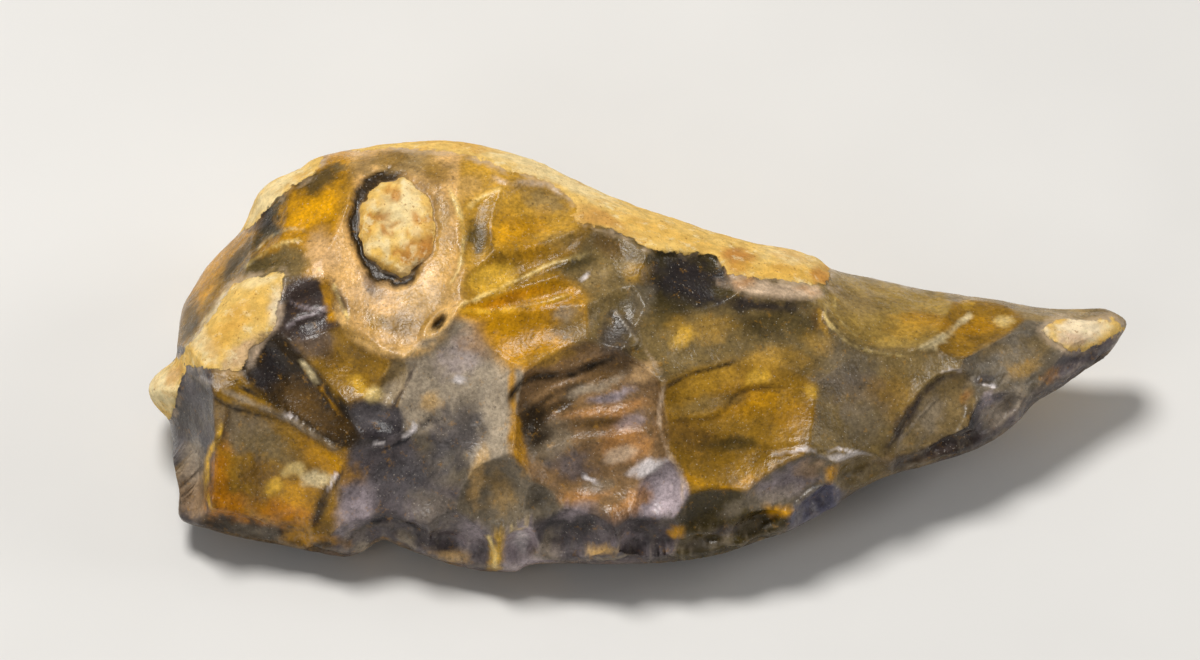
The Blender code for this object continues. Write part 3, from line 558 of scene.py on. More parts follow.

# Soft patches of colour: u, v, half length, half width, heading, strength, colour.
# The pale violet patches are partly painted sheen over the flint's violet-grey.
# The white patches are painted glints, partly whitish bruising.
BLOTS = (
    # End wall.
    (-64.4, 22.4, 3.4, 3.4, 0, 0.9, "dark_grey"),
    (-63.4, 11.6, 2.6, 4.0, 5, 0.4, "pinkish"),
    (-64.0, 16.5, 1.6, 3.4, 5, 0.6, "pale_grey"),
    # The amber dish.
    (-55.6, 20.2, 6.0, 3.0, -28, 0.8, "grey"),
    (-52.0, 18.0, 4.6, 2.4, -30, 0.7, "olive"),
    (-59.6, 13.4, 2.0, 5.4, -6, 0.8, "orange"),
    (-58.0, 9.8, 3.4, 2.0, -30, 0.9, "orange"),
    (-51.0, 8.6, 5.4, 2.2, -8, 0.9, "orange"),
    (-48.0, 11.4, 3.4, 2.6, -20, 0.8, "amber"),
    (-44.6, 16.4, 5.0, 2.0, -32, 0.9, "amber"),
    (-54.2, 14.0, 3.8, 2.8, -20, 0.8, "brown"),
    (-51.7, 12.3, 1.4, 1.2, 0, 0.9, "yellow"),
    (-46.3, 13.3, 2.0, 1.3, -10, 0.8, "cream"),
    (-49.2, 14.9, 1.9, 1.2, 20, 0.7, "pale_yellow"),
    (-45.4, 9.4, 2.8, 1.0, 75, 0.9, "brown_black"),
    (-54.2, 10.6, 2.2, 1.5, 0, 0.6, "brown"),
    (-46.4, 4.7, 4.2, 1.2, -8, 0.8, "amber"),
    (-55.4, 6.2, 4.6, 0.9, -12, 0.5, "grey"),
    # Between the dish and the notch.
    (-40.6, 9.2, 3.6, 2.2, 60, 0.5, "light_violet"),
    (-33.0, 14.4, 5.4, 4.4, 20, 0.8, "blue_grey"),
    (-27.4, 18.4, 3.6, 3.4, 30, 0.6, "blue_grey"),
    (-36.4, 17.0, 3.0, 1.4, 10, 0.5, "violet_grey"),
    (-29.0, 9.4, 4.0, 2.4, -20, 0.5, "grey"),
    (-33.0, 4.8, 1.7, 0.8, -30, 0.8, "pale_grey"),
    (-39.4, 3.8, 1.3, 0.7, 30, 0.7, "pale_grey"),
    (-27.0, 2.6, 3.0, 0.8, -15, 0.6, "tan"),
    (-24.4, 5.4, 2.4, 2.2, 0, 0.5, "light_violet"),
    (-20.3, 2.4, 2.8, 1.3, 82, 0.9, "yellow"),
    (-17.0, 4.6, 1.5, 1.0, 70, 0.6, "white"),
    # The wedge and the violet scar.
    (-52.8, 29.0, 3.2, 2.6, -50, 0.8, "blue_black"),
    (-47.6, 24.0, 4.2, 3.2, -45, 0.7, "brown"),
    (-42.6, 21.2, 2.8, 1.6, -30, 0.7, "brown"),
    (-48.0, 41.2, 2.4, 1.6, 0, 0.7, "violet_black"),
    (-46.4, 32.8, 3.4, 2.4, -35, 0.7, "violet_grey"),
    (-40.8, 28.6, 3.6, 3.2, -50, 0.8, "olive_amber"),
    (-39.6, 26.6, 1.8, 1.2, -50, 0.7, "yellow"),
    (-43.6, 30.8, 2.2, 1.6, -50, 0.5, "brown"),
    (-37.3, 25.4, 1.4, 1.1, 60, 0.9, "pale_yellow"),
    (-44.1, 40.0, 3.4, 0.9, 97, 0.9, "amber"),
    (-38.0, 23.2, 2.4, 1.4, -10, 0.6, "blue_grey"),
    (-34.4, 26.2, 2.6, 1.5, 60, 0.7, "pale_grey"),
    (-36.0, 20.2, 3.6, 1.5, 15, 0.9, "blue_black"),
    (-40.6, 19.2, 2.4, 1.0, -20, 0.7, "brown_black"),
    # The ring and the fossil.
    (-35.6, 40.4, 5.0, 2.4, -5, 0.8, "pinkish"),
    (-30.4, 40.0, 3.4, 3.0, 30, 0.8, "tan"),
    (-38.2, 41.4, 2.6, 1.2, -40, 0.6, "violet_grey"),
    (-33.4, 35.8, 5.4, 2.1, 6, 0.9, "olive_amber"),
    (-36.6, 36.4, 2.0, 1.1, -20, 0.4, "ochre_grey"),
    (-33.0, 58.6, 6.0, 2.4, 0, 0.8, "ochre_grey"),
    (-36.0, 59.6, 3.4, 1.4, 5, 0.6, "olive_amber"),
    (-29.4, 57.4, 2.6, 2.2, -30, 0.7, "olive_amber"),
    (-41.4, 53.0, 1.8, 3.4, 15, 0.7, "olive_amber"),
    (-33.0, 43.4, 2.2, 1.4, 10, 0.7, "brown"),
    (-44.8, 45.6, 3.6, 2.2, 95, 0.8, "pinkish"),
    (-28.2, 46.0, 1.8, 6.0, 5, 0.6, "honey"),
    (-28.2, 51.0, 1.6, 3.0, 20, 0.4, "olive"),
    # Shoulder of the butt.
    (-47.3, 51.6, 4.4, 2.3, 12, 1.0, "bright_amber"),
    (-46.4, 56.2, 4.4, 2.0, 28, 0.9, "dark_olive"),
    (-40.4, 58.4, 3.2, 1.4, 10, 0.5, "olive"),
    (-53.0, 46.8, 2.6, 1.2, 20, 0.7, "amber"),
    (-54.2, 44.2, 4.0, 1.3, 10, 0.8, "dark_olive"),
    (-61.2, 43.6, 7.4, 1.9, 56, 0.95, "amber"),
    (-63.4, 39.0, 3.0, 1.3, 66, 0.8, "amber"),
    (-56.6, 48.4, 3.4, 1.1, 48, 0.8, "amber"),
    (-58.0, 44.6, 4.6, 0.9, 55, 0.8, "dark_olive"),
    (-64.4, 36.4, 1.4, 3.4, -12, 0.8, "dark_olive"),
    (-54.4, 50.6, 2.8, 1.6, 50, 0.8, "blue_black"),
    # The grey scar.
    (-24.4, 31.4, 4.6, 2.8, 30, 0.5, "light_violet"),
    (-25.2, 20.6, 4.6, 4.0, 60, 0.8, "blue_grey"),
    (-22.6, 14.0, 4.2, 1.2, 75, 0.6, "tan"),
    (-29.4, 24.4, 1.6, 1.2, 30, 0.6, "tan"),
    (-25.3, 27.6, 0.9, 0.6, 0, 0.8, "white"),
    (-20.0, 26.0, 2.2, 4.4, 5, 0.4, "pale_grey"),
    (-19.6, 11.8, 2.0, 3.6, 0, 0.35, "honey"),
    # Under the crest.
    (-13.4, 53.2, 3.8, 2.0, -12, 0.8, "ochre_grey"),
    (-17.4, 49.0, 5.0, 2.4, 15, 0.8, "bright_amber"),
    (-22.8, 47.6, 2.6, 2.2, 60, 0.9, "dark_olive"),
    (-24.0, 55.4, 2.6, 2.0, 60, 0.6, "tan"),
    (-20.8, 42.0, 3.6, 1.8, 10, 0.8, "yellow"),
    (-14.4, 46.0, 3.4, 1.6, 15, 0.6, "amber"),
    (-9.0, 44.4, 3.0, 1.1, 15, 0.8, "dark_olive"),
    (-11.6, 47.6, 3.4, 1.6, 20, 0.6, "olive"),
    (-18.0, 39.4, 5.4, 0.9, 14, 0.7, "orange"),
    (-19.0, 32.8, 5.4, 3.0, -10, 0.5, "amber"),
    (-9.0, 35.4, 3.2, 3.2, 0, 0.8, "olive"),
    (-12.4, 31.0, 4.0, 1.0, 8, 0.6, "honey"),
    (-10.4, 37.4, 1.2, 1.4, -40, 0.6, "pale_grey"),
    (-4.0, 46.6, 3.2, 1.5, -22, 0.7, "brown"),
    (-6.0, 41.8, 2.4, 2.0, 30, 0.6, "ochre_grey"),
    (0.2, 43.0, 1.8, 1.4, 0, 0.6, "honey"),
    (-7.8, 42.6, 0.7, 0.4, 20, 0.7, "white"),
    # The rippled scar.
    (-12.6, 19.0, 4.4, 3.4, 25, 0.8, "grey"),
    (-9.6, 15.6, 4.2, 2.2, 0, 0.8, "violet_grey"),
    (-15.2, 22.2, 2.0, 3.8, 20, 0.9, "brown_black"),
    (-11.0, 24.0, 4.6, 1.0, 30, 0.8, "brown_black"),
    (-3.0, 29.2, 3.6, 1.4, 16, 0.7, "brown"),
    (-6.0, 26.8, 4.6, 0.9, 20, 0.7, "pale_grey"),
    (-4.0, 25.2, 3.6, 0.7, 12, 0.9, "light_violet"),
    (0.8, 28.4, 2.2, 1.8, 40, 0.7, "pinkish"),
    (-4.6, 23.2, 6.4, 1.0, 6, 0.9, "rust"),
    (-6.0, 21.6, 5.0, 0.7, 8, 0.7, "brown"),
    (-1.4, 18.8, 4.2, 3.0, 0, 0.95, "rust"),
    (-2.4, 17.0, 2.2, 1.2, 10, 0.8, "pink_white"),
    (-0.4, 21.4, 2.6, 1.0, 0, 0.6, "light_violet"),
    (-16.6, 18.6, 0.9, 4.4, 5, 0.8, "amber"),
    (-8.0, 10.8, 4.6, 1.2, 8, 0.9, "rust"),
    (-5.4, 12.4, 3.0, 1.2, 10, 0.6, "grey"),
    # Pale violet and white on the facet at the lower right of the rippled scar: a painted reflection of the
    # light.
    (3.8, 11.6, 3.4, 1.6, 75, 0.8, "light_violet"),
    (0.2, 10.8, 2.6, 1.2, 40, 0.8, "rust"),
    (1.6, 15.0, 3.0, 0.9, 15, 0.9, "white"),
    (-1.4, 9.4, 2.6, 1.4, 20, 0.7, "rust"),
    (-6.6, 13.6, 1.3, 0.4, -30, 1.0, "white"),
    # The amber scar.
    (10.0, 27.4, 5.0, 1.6, 15, 0.5, "honey"),
    (15.4, 24.6, 5.0, 2.4, 5, 0.7, "amber"),
    (7.0, 19.8, 4.0, 2.2, -25, 0.7, "brown"),
    (10.0, 24.4, 5.6, 1.3, 10, 0.7, "olive"),
    (13.4, 18.2, 4.2, 1.3, 0, 0.8, "dark_olive"),
    (12.0, 14.6, 5.2, 1.6, 0, 0.7, "olive_amber"),
    (24.4, 25.8, 1.4, 1.2, 0, 0.6, "yellow"),
    (22.0, 22.6, 3.4, 2.6, 0, 0.5, "amber"),
    (6.8, 33.8, 2.0, 1.3, 40, 0.8, "yellow"),
    (17.0, 28.2, 1.6, 1.0, 0, 0.6, "yellow"),
    # The dark olive side under the crest.
    (6.6, 41.2, 5.6, 4.0, -10, 0.9, "blue_black"),
    (4.0, 37.4, 3.6, 2.4, 20, 0.7, "dark_olive"),
    (12.4, 42.6, 2.4, 1.6, 0, 0.8, "blue_black"),
    (17.6, 38.4, 8.0, 1.2, -7, 0.9, "blue_black"),
    (20.0, 35.4, 7.0, 2.2, -5, 0.7, "dark_olive"),
    (26.0, 36.4, 1.2, 1.6, 0, 0.7, "brown"),
    (-2.8, 34.8, 2.6, 3.4, -35, 0.9, "dark_grey"),
    (-2.0, 38.6, 1.6, 2.0, -35, 0.7, "dark_olive"),
    (30.0, 29.6, 5.4, 3.2, -20, 0.6, "grey"),
    (30.6, 26.4, 5.4, 3.0, -20, 0.4, "violet_grey"),
    (21.0, 30.6, 4.4, 1.8, 0, 0.5, "honey"),
    (9.6, 35.0, 5.4, 2.0, 0, 0.4, "honey"),
    (25.4, 33.0, 2.4, 1.6, -20, 0.3, "honey"),
    (0.6, 38.8, 2.6, 2.4, 0, 0.6, "grey"),
    # Towards the point.
    (32.0, 38.6, 3.4, 2.6, -20, 0.6, "ochre_grey"),
    (41.6, 36.6, 3.6, 1.6, -5, 0.6, "amber"),
    (47.6, 38.7, 1.2, 0.7, -10, 0.6, "yellow"),
    (53.2, 36.2, 1.4, 0.9, 0, 0.6, "pale_yellow"),
    (39.0, 35.0, 4.0, 2.0, 0, 0.5, "honey"),
    (48.6, 35.2, 2.8, 1.5, 5, 0.7, "amber"),
    (43.0, 33.2, 2.2, 0.8, 30, 0.7, "cream"),
    (36.0, 42.2, 7.0, 0.6, -9, 0.8, "pale_grey"),
    (36.0, 25.0, 3.6, 3.2, 0, 0.5, "olive_amber"),
    (32.0, 22.0, 3.0, 3.4, 0, 0.6, "grey"),
    (56.6, 30.4, 3.6, 1.8, 20, 0.4, "ochre_grey"),
    (51.0, 31.6, 3.0, 1.2, 10, 0.5, "ochre_grey"),
    (62.8, 32.8, 2.2, 0.9, 0, 0.8, "pinkish"),
    # Painted shadow under the skin at the tip.
    (63.8, 31.0, 3.4, 0.8, 20, 0.8, "blue_grey"),
    (58.0, 32.6, 3.0, 1.2, 0, 0.6, "olive"),
    (59.6, 28.2, 1.6, 0.9, 30, 0.6, "rust"),
    (54.0, 25.0, 2.4, 1.4, 40, 0.5, "pale_grey"),
    (50.2, 25.4, 1.5, 0.7, 50, 0.6, "light_violet"),
    (53.4, 27.8, 1.3, 0.6, 30, 0.6, "pale_grey"),
    (47.8, 22.4, 1.0, 1.8, 30, 0.6, "blue_black"),
    (49.4, 27.4, 2.6, 0.8, 10, 0.7, "blue_grey"),
    (55.6, 29.0, 3.0, 1.0, 25, 0.4, "honey"),
    (47.4, 25.4, 1.2, 0.8, 50, 0.7, "rust"),
    (41.0, 21.0, 3.6, 2.0, 50, 0.5, "olive"),
    # The lower margin on the side of the point.
    (27.3, 14.4, 1.7, 0.9, 80, 1.0, "amber"),
    (19.6, 9.0, 2.0, 0.9, -10, 0.9, "bright_amber"),
    (22.0, 13.4, 4.8, 2.2, 28, 0.8, "light_violet"),
    (25.0, 15.4, 2.4, 1.2, 20, 0.6, "pinkish"),
    (42.0, 22.6, 3.8, 2.0, 55, 0.6, "pale_grey"),
    # Painted shade on the same steep wall near the point.
    (37.6, 21.0, 1.2, 4.0, -30, 0.7, "violet_black"),
    (51.6, 22.4, 3.0, 2.0, 40, 0.6, "pale_grey"),
    (44.6, 18.6, 4.6, 1.2, 20, 0.8, "violet_black"),
    (29.6, 17.0, 3.4, 0.6, 0, 0.6, "white"),
    (36.6, 16.6, 3.0, 0.7, 15, 0.5, "brown"),
    (-5.4, 3.4, 2.6, 0.8, 5, 0.8, "tan"),
    (5.2, 5.8, 1.1, 1.1, 0, 0.9, "bright_amber"),
    (-3.0, 2.1, 3.4, 0.5, 0, 0.6, "pale_grey"),
    (-10.0, 6.8, 4.0, 1.4, 0, 0.7, "blue_black"),
    (0.4, 8.0, 3.0, 1.2, 0, 0.6, "blue_black"),
    (-13.6, 3.2, 2.6, 1.0, -10, 0.7, "grey"),
    (-1.6, 5.0, 2.6, 0.9, 5, 0.6, "light_violet"),
    (8.6, 4.0, 3.4, 0.8, 8, 0.3, "violet_grey"),
    (14.0, 9.4, 3.0, 1.2, 25, 0.7, "grey"),
    (-8.4, 8.6, 2.6, 1.0, 20, 0.6, "light_violet"),
    (-12.0, 5.4, 1.8, 0.9, 30, 0.6, "pale_grey"),
    (4.4, 7.8, 2.2, 0.8, 15, 0.4, "grey"),
    (12.6, 6.2, 2.4, 0.8, 20, 0.5, "violet_grey"),
    (20.4, 11.6, 3.6, 1.0, 28, 0.5, "pale_grey"),
    (20.0, 40.9, 7.4, 1.3, -4, 0.85, "pink_white"),
    (15.0, 41.8, 1.6, 1.2, 0, 0.8, "rust"),
    (24.6, 41.0, 2.0, 0.8, 0, 0.7, "rust"),
)

# The same for the skin, over its own tan.
SKIN_BLOTS = (
    (64.0, 34.8, 5.0, 2.2, 10, 0.9, "skin_white"),
    (62.6, 33.4, 2.4, 0.9, 0, 0.7, "skin_pink"),
    (-69.4, 26.2, 4.0, 3.6, 0, 1.0, "skin_cream"),
    (-66.2, 28.4, 2.0, 1.4, 30, 0.5, "skin_rust"),
    (-63.0, 33.6, 1.6, 4.6, 40, 0.9, "skin_cream"),
    (-58.6, 35.0, 3.6, 2.6, 40, 0.7, "skin_gold"),
    (-54.0, 38.0, 3.4, 3.0, 20, 0.5, "skin_gold"),
    (-56.0, 31.4, 3.6, 1.4, 35, 0.7, "skin_pink"),
    (-51.6, 37.6, 1.4, 3.4, 0, 0.8, "skin_white"),
    (-54.0, 42.0, 3.6, 0.8, 5, 0.6, "skin_cream"),
    (-53.0, 54.6, 6.0, 2.2, 48, 0.8, "skin_cream"),
    (-34.0, 51.6, 4.4, 3.0, 60, 0.7, "skin_cream"),
    (-31.4, 45.4, 3.4, 2.2, 30, 0.8, "skin_rust"),
    (-35.6, 45.0, 2.4, 1.6, -20, 0.6, "skin_gold"),
    (-38.4, 50.6, 1.4, 3.4, 10, 0.5, "skin_gold"),
    (-12.0, 57.0, 12.0, 1.6, -26, 0.7, "skin_cream"),
    (-6.0, 51.0, 5.0, 1.2, -18, 0.6, "skin_rust"),
    (4.0, 48.6, 8.0, 1.2, -20, 0.6, "skin_gold"),
    (14.4, 44.6, 2.4, 2.0, 0, 0.9, "skin_rust"),
    (21.0, 43.0, 7.0, 1.0, -6, 0.8, "skin_gold"),
    (22.0, 45.6, 5.0, 1.2, -12, 0.6, "skin_cream"),
    (26.6, 42.6, 1.4, 1.6, 0, 0.8, "skin_rust"),
)

# Narrow lines of colour: half width, strength, colour, and the line as u, v.
# Pale violet lines are partly painted sheen.
# White lines are painted glints along ridges, partly whitish bruising; pale lines along ridges are partly
# painted highlights over the ridges' own colour.
STREAKS = (
    (0.6, 0.8, "brown", ((-58.5, 24.6), (-59.0, 20.6), (-60.6, 17.8), (-61.3, 14.0), (-60.8, 11.4))),
    # Pale yellow beside the ridge: partly its own colour, partly painted glints.
    (0.55, 1.0, "yellow", ((-59.2, 21.6), (-59.9, 19.2), (-61.4, 17.0), (-61.9, 14.0), (-61.5, 11.0),
                           (-60.4, 8.8))),
    (0.7, 0.7, "pale_grey", ((-64.4, 28.2), (-60.6, 27.0), (-56.4, 25.0), (-51.0, 22.8), (-46.2, 20.0),
                             (-42.4, 17.6))),
    # A real crack, darkened further by painted shade under the step above it.
    (0.4, 1.0, "brown_black", ((-58.4, 27.6), (-54.4, 25.7), (-50.5, 23.6), (-46.2, 21.0), (-43.2, 18.9),
                               (-40.4, 17.9))),
    (0.35, 0.9, "brown_black", ((-66.0, 29.4), (-63.0, 27.4), (-58.6, 23.9), (-50.6, 21.9))),
    (0.5, 0.9, "blue_black", ((-40.6, 17.2), (-42.6, 13.6), (-45.4, 8.6), (-46.4, 6.4))),
    (0.3, 0.9, "white", ((-42.8, 14.6), (-44.4, 11.6))),
    (0.45, 1.0, "blue_black", ((-38.8, 17.1), (-36.0, 17.7), (-33.4, 18.9), (-31.0, 20.8), (-28.5, 22.8))),
    (0.35, 1.0, "white", ((-37.6, 18.5), (-36.0, 18.6))),
    (0.45, 1.0, "white", ((-33.6, 19.4), (-32.0, 20.4), (-31.4, 21.6))),
    (0.5, 0.9, "violet_black", EDGES["notch_fold"]),
    (0.6, 0.8, "cream", ((-48.2, 30.6), (-46.8, 28.8), (-45.4, 27.0))),
    (0.4, 0.7, "amber", ((-45.2, 26.8), (-43.6, 24.4), (-41.0, 21.6))),
    (0.35, 0.5, "light_violet", ((-50.2, 39.0), (-47.5, 38.0), (-45.5, 37.6), (-44.0, 37.9))),
    (0.35, 0.6, "light_violet", ((-50.2, 34.8), (-48.6, 36.2), (-46.8, 36.9), (-44.9, 36.9))),
    (1.1, 0.9, "tan", EDGES["ring_low"]),
    (0.35, 0.9, "pale_yellow", ((-43.5, 41.6), (-42.4, 38.6), (-41.0, 36.0))),
    # Pale line on the ring's right ridge: partly its own colour, partly a painted glint.
    (0.4, 0.9, "pale_yellow", EDGES["ring_right"]),
    (0.7, 0.5, "brown", ((-36.4, 58.2), (-32.8, 58.2), (-29.2, 55.8), (-28.0, 53.8))),
    (0.35, 0.7, "pale_yellow", EDGES["butt_edge"]),
    (0.3, 0.7, "cream", ((-55.2, 45.8), (-52.4, 48.4), (-50.0, 49.2), (-47.0, 48.8))),
    (0.8, 0.8, "cream", ((-65.0, 31.6), (-62.6, 34.8), (-60.2, 38.2), (-58.2, 41.6))),
    (0.8, 0.9, "pink_white", ((-50.6, 42.0), (-51.2, 38.6), (-51.4, 36.0), (-54.0, 32.6), (-55.6, 29.2))),
    (0.5, 0.8, "pale_yellow", EDGES["shoulder"]),
    (0.6, 0.8, "pink_white", ((-21.5, 56.8), (-18.0, 55.6), (-16.5, 56.0), (-13.0, 55.6), (-10.5, 53.6))),
    (0.4, 0.8, "pale_yellow", EDGES["crest_scar_top"]),
    (0.5, 0.9, "yellow", EDGES["crest_scar_low"]),
    (0.8, 0.8, "amber", ((-21.9, 34.0), (-18.8, 31.0), (-17.8, 28.6), (-17.9, 21.5), (-18.0, 16.2))),
    # The next two dark lines are painted shade under the overhang at the top of the rippled scar and under
    # the step below it.
    (0.8, 1.0, "brown_black", ((-18.8, 23.4), (-17.4, 26.3), (-14.7, 28.1), (-9.6, 28.3), (-5.6, 30.1),
                               (-1.6, 31.2), (0.6, 32.2))),
    (0.7, 0.8, "brown_black", ((-16.2, 21.4), (-13.4, 24.6), (-10.2, 26.2), (-6.6, 27.4))),
    # Pale line on the bright right ridge of the rippled scar: partly painted highlight.
    (0.35, 0.8, "pink_white", EDGES["ripples_right"]),
    # The next two lines are painted shade under the hinge steps of the amber scar.
    (0.35, 0.8, "brown_black", ((3.1, 26.0), (7.2, 28.3), (10.9, 29.2), (14.1, 30.4))),
    (0.45, 0.8, "brown", ((3.3, 21.8), (8.1, 21.8), (11.8, 22.7), (14.1, 25.5), (17.8, 26.5), (21.4, 26.5))),
    (0.7, 0.8, "amber", ((6.3, 14.5), (9.5, 12.7), (13.6, 12.4), (16.8, 14.2))),
    (1.3, 0.9, "pink_white", ((13.6, 41.6), (17.0, 40.4), (20.6, 40.2), (24.4, 40.0), (26.6, 40.6))),
    (0.6, 0.8, "orange", ((12.4, 45.0), (13.0, 43.2), (14.0, 42.0))),
    (0.3, 0.8, "pale_yellow", EDGES["point_side"]),
    (0.5, 0.7, "honey", ((26.0, 38.0), (26.4, 35.4), (27.8, 33.6))),
    (0.25, 0.5, "pale_yellow", EDGES["point_side_fold"]),
    (0.6, 0.8, "cream", ((42.6, 32.6), (44.6, 34.4), (46.6, 36.0), (48.6, 37.2))),
    # Painted shade on the steep wall of the long curved step near the point.
    (0.8, 0.9, "violet_black", ((35.9, 17.6), (38.4, 22.0), (40.6, 25.0), (42.9, 27.2), (45.4, 28.3),
                                (48.2, 27.9))),
    (0.3, 0.7, "pale_grey", EDGES["low_near_point"]),
    (0.3, 1.0, "white", ((43.4, 28.7), (45.2, 29.1), (46.6, 28.9))),
    (0.35, 1.0, "white", ((49.4, 26.9), (51.6, 26.6))),
    (0.35, 0.9, "white", ((18.9, 16.9), (21.6, 17.4), (23.6, 17.9), (25.6, 17.5))),
    (0.35, 0.9, "white", ((26.8, 17.5), (28.8, 17.9), (31.4, 17.2))),
    (0.4, 1.0, "blue_black", ((21.9, 10.0), (24.6, 12.2), (27.6, 13.2))),
    # Painted shade under the step of the arch over the notch.
    (0.6, 1.0, "blue_black", ((-43.0, 3.9), (-40.4, 6.0), (-37.8, 7.4), (-35.2, 7.8), (-32.4, 6.8),
                              (-30.0, 4.8))),
    (0.5, 1.0, "pale_yellow", EDGES["notch_side"]),
    (0.35, 0.9, "pale_yellow", EDGES["notch_top"]),
    (0.3, 0.6, "pale_grey", EDGES["middle_edge"]),
    (0.35, 0.8, "white", ((-62.6, 28.2), (-60.6, 27.3))),
    (0.35, 0.8, "white", ((-50.4, 22.9), (-48.6, 22.0))),
)


def curve_between(start, end, leaving, arriving, t):
    """A smooth step from start to end that leaves and arrives with the given slopes."""
    return (
        start * (1 + 2 * t) * (1 - t) ** 2
        + end * t**2 * (3 - 2 * t)
        + leaving * t * (1 - t) ** 2
        + arriving * t**2 * (t - 1)
    )


def smooth_through(x, knots_x, knots_y):
    """A smooth curve through the knots, flat beyond both ends."""
    knots_x = np.asarray(knots_x, float)
    knots_y = np.asarray(knots_y, float)
    slopes = np.gradient(knots_y, knots_x)
    x = np.clip(x, knots_x[0], knots_x[-1])
    before = np.clip(np.searchsorted(knots_x, x) - 1, 0, len(knots_x) - 2)
    after = before + 1
    span = knots_x[after] - knots_x[before]
    t = (x - knots_x[before]) / span
    return curve_between(knots_y[before], knots_y[after], slopes[before] * span, slopes[after] * span, t)


def section(u, column):
    table = np.array(SECTIONS)
    return smooth_through(u, table[:, 0], table[:, column])


def smooth_max(a, b, blend):
    """The greater of two values, eased into one another where they are within the blend."""
    near = np.maximum(blend - np.abs(a - b), 0.0) / blend
    return np.maximum(a, b) + near**2 * blend / 4


def face_to_table(v, w):
    """Across and up over the floor, from up and out of the worked face."""
    y = v * math.cos(FACE_TILT) - w * math.sin(FACE_TILT)
    z = v * math.sin(FACE_TILT) + w * math.cos(FACE_TILT)
    return y, z


def table_to_face(y, z):
    v = y * math.cos(FACE_TILT) + z * math.sin(FACE_TILT)
    w = z * math.cos(FACE_TILT) - y * math.sin(FACE_TILT)
    return v, w


def eased(points, pull, steps, closed):
    """A smooth run of points through the given ones."""
    here = np.array(points, float)
    if closed:
        before, after = np.roll(here, 1, axis=0), np.roll(here, -1, axis=0)
    else:
        before = np.vstack([here[:1], here[:-1]])
        after = np.vstack([here[1:], here[-1:]])
    leaving = (after - before) * pull
    arriving = np.roll(leaving, -1, axis=0)
    runs = [curve_between(here, after, leaving, arriving, step / steps) for step in range(steps)]
    run = np.stack(runs, axis=1).reshape(-1, 2)
    if closed:
        return np.vstack([run, run[:1]])
    return run[: (len(here) - 1) * steps + 1]


def beside(u, v, run):
    """Distance from a run of points, the side of it (1 to its left), and the share of the way along."""
    nearest = np.full(u.shape, np.inf)
    side = np.ones(u.shape)
    share = np.zeros(u.shape)
    for k, ((u_a, v_a), (u_b, v_b)) in enumerate(zip(run[:-1], run[1:])):
        ahead, up = u_b - u_a, v_b - v_a
        t = np.clip(((u - u_a) * ahead + (v - v_a) * up) / (ahead**2 + up**2), 0, 1)
        off_u, off_v = u - u_a - t * ahead, v - v_a - t * up
        distance = np.hypot(off_u, off_v)
        closer = distance < nearest
        nearest = np.where(closer, distance, nearest)
        side = np.where(closer, np.where(ahead * off_v - up * off_u >= 0, 1.0, -1.0), side)
        share = np.where(closer, (k + t) / (len(run) - 1), share)
    return nearest, side, share


def inside_run(u, v, run):
    """Distance inside a closed run of points, negative outside it."""
    nearest, _, _ = beside(u, v, run)
    inside = np.zeros(u.shape, bool)
    for (u_a, v_a), (u_b, v_b) in zip(run[:-1], run[1:]):
        if v_a != v_b:
            left = u < u_a + (v - v_a) * (u_b - u_a) / (v_b - v_a)
            inside ^= ((v_a > v) != (v_b > v)) & left
    return np.where(inside, nearest, -nearest)


def outline_field():
    """Distance inside the outline over a grid of the face, negative outside."""
    u, v = np.meshgrid(np.arange(*FIELD_U, FIELD_CELL), np.arange(*FIELD_V, FIELD_CELL))
    return inside_run(u, v, eased(OUTLINE, OUTLINE_PULL, OUTLINE_STEPS, True))


FIELD = outline_field()


def inside_outline(u, v):
    """Distance inside the outline, read from the grid."""
    rows, columns = FIELD.shape
    x = np.clip((u - FIELD_U[0]) / FIELD_CELL, 0, columns - 1.001)
    y = np.clip((v - FIELD_V[0]) / FIELD_CELL, 0, rows - 1.001)
    i, j = x.astype(int), y.astype(int)
    s, t = x - i, y - j
    low = FIELD[j, i] * (1 - s) + FIELD[j, i + 1] * s
    high = FIELD[j + 1, i] * (1 - s) + FIELD[j + 1, i + 1] * s
    return low * (1 - t) + high * t


def ramp(value, start, length):
    """0 up to the start, then rising to 1 over the length."""
    return np.clip((value - start) / length, 0, 1)


def share_up_face(u, v):
    """0 at the lower margin, 1 at the crest."""
    low, crest = section(u, LOW_V), section(u, CREST_V)
    return ramp(v, low, np.maximum(crest - low, LEAST_FACE_WIDTH))


def bluntness(u):
    """1 along most of the stone, less towards its point."""
    return 1 - POINT_SHARPNESS * ramp(u, POINT_STARTS, POINT_EASE)


def edge_radius(u, share):
    """How widely the edge is rounded: most along the crest, least towards the point."""
    radius = LOW_EDGE_RADIUS + (CREST_RADIUS - LOW_EDGE_RADIUS) * ramp(share, CREST_STARTS, CREST_EASE)
    radius = np.maximum(radius, BUTT_RADIUS * ramp(-u, -BUTT_STARTS, BUTT_EASE))
    return radius * bluntness(u)


def uncut_front(u, share, edge):
    """How far the stone stood out of the face plane before it was flaked."""
    plane = section(u, LOW_W) * (1 - share) + section(u, CREST_W) * share
    bulge = section(u, BULGE) * np.sin(math.pi * share) ** BULGE_FULLNESS
    radius = edge_radius(u, share)
    past = np.clip(1 - edge / radius, 0, 1)
    return plane + bulge - radius * (1 - np.sqrt(1 - past**2))


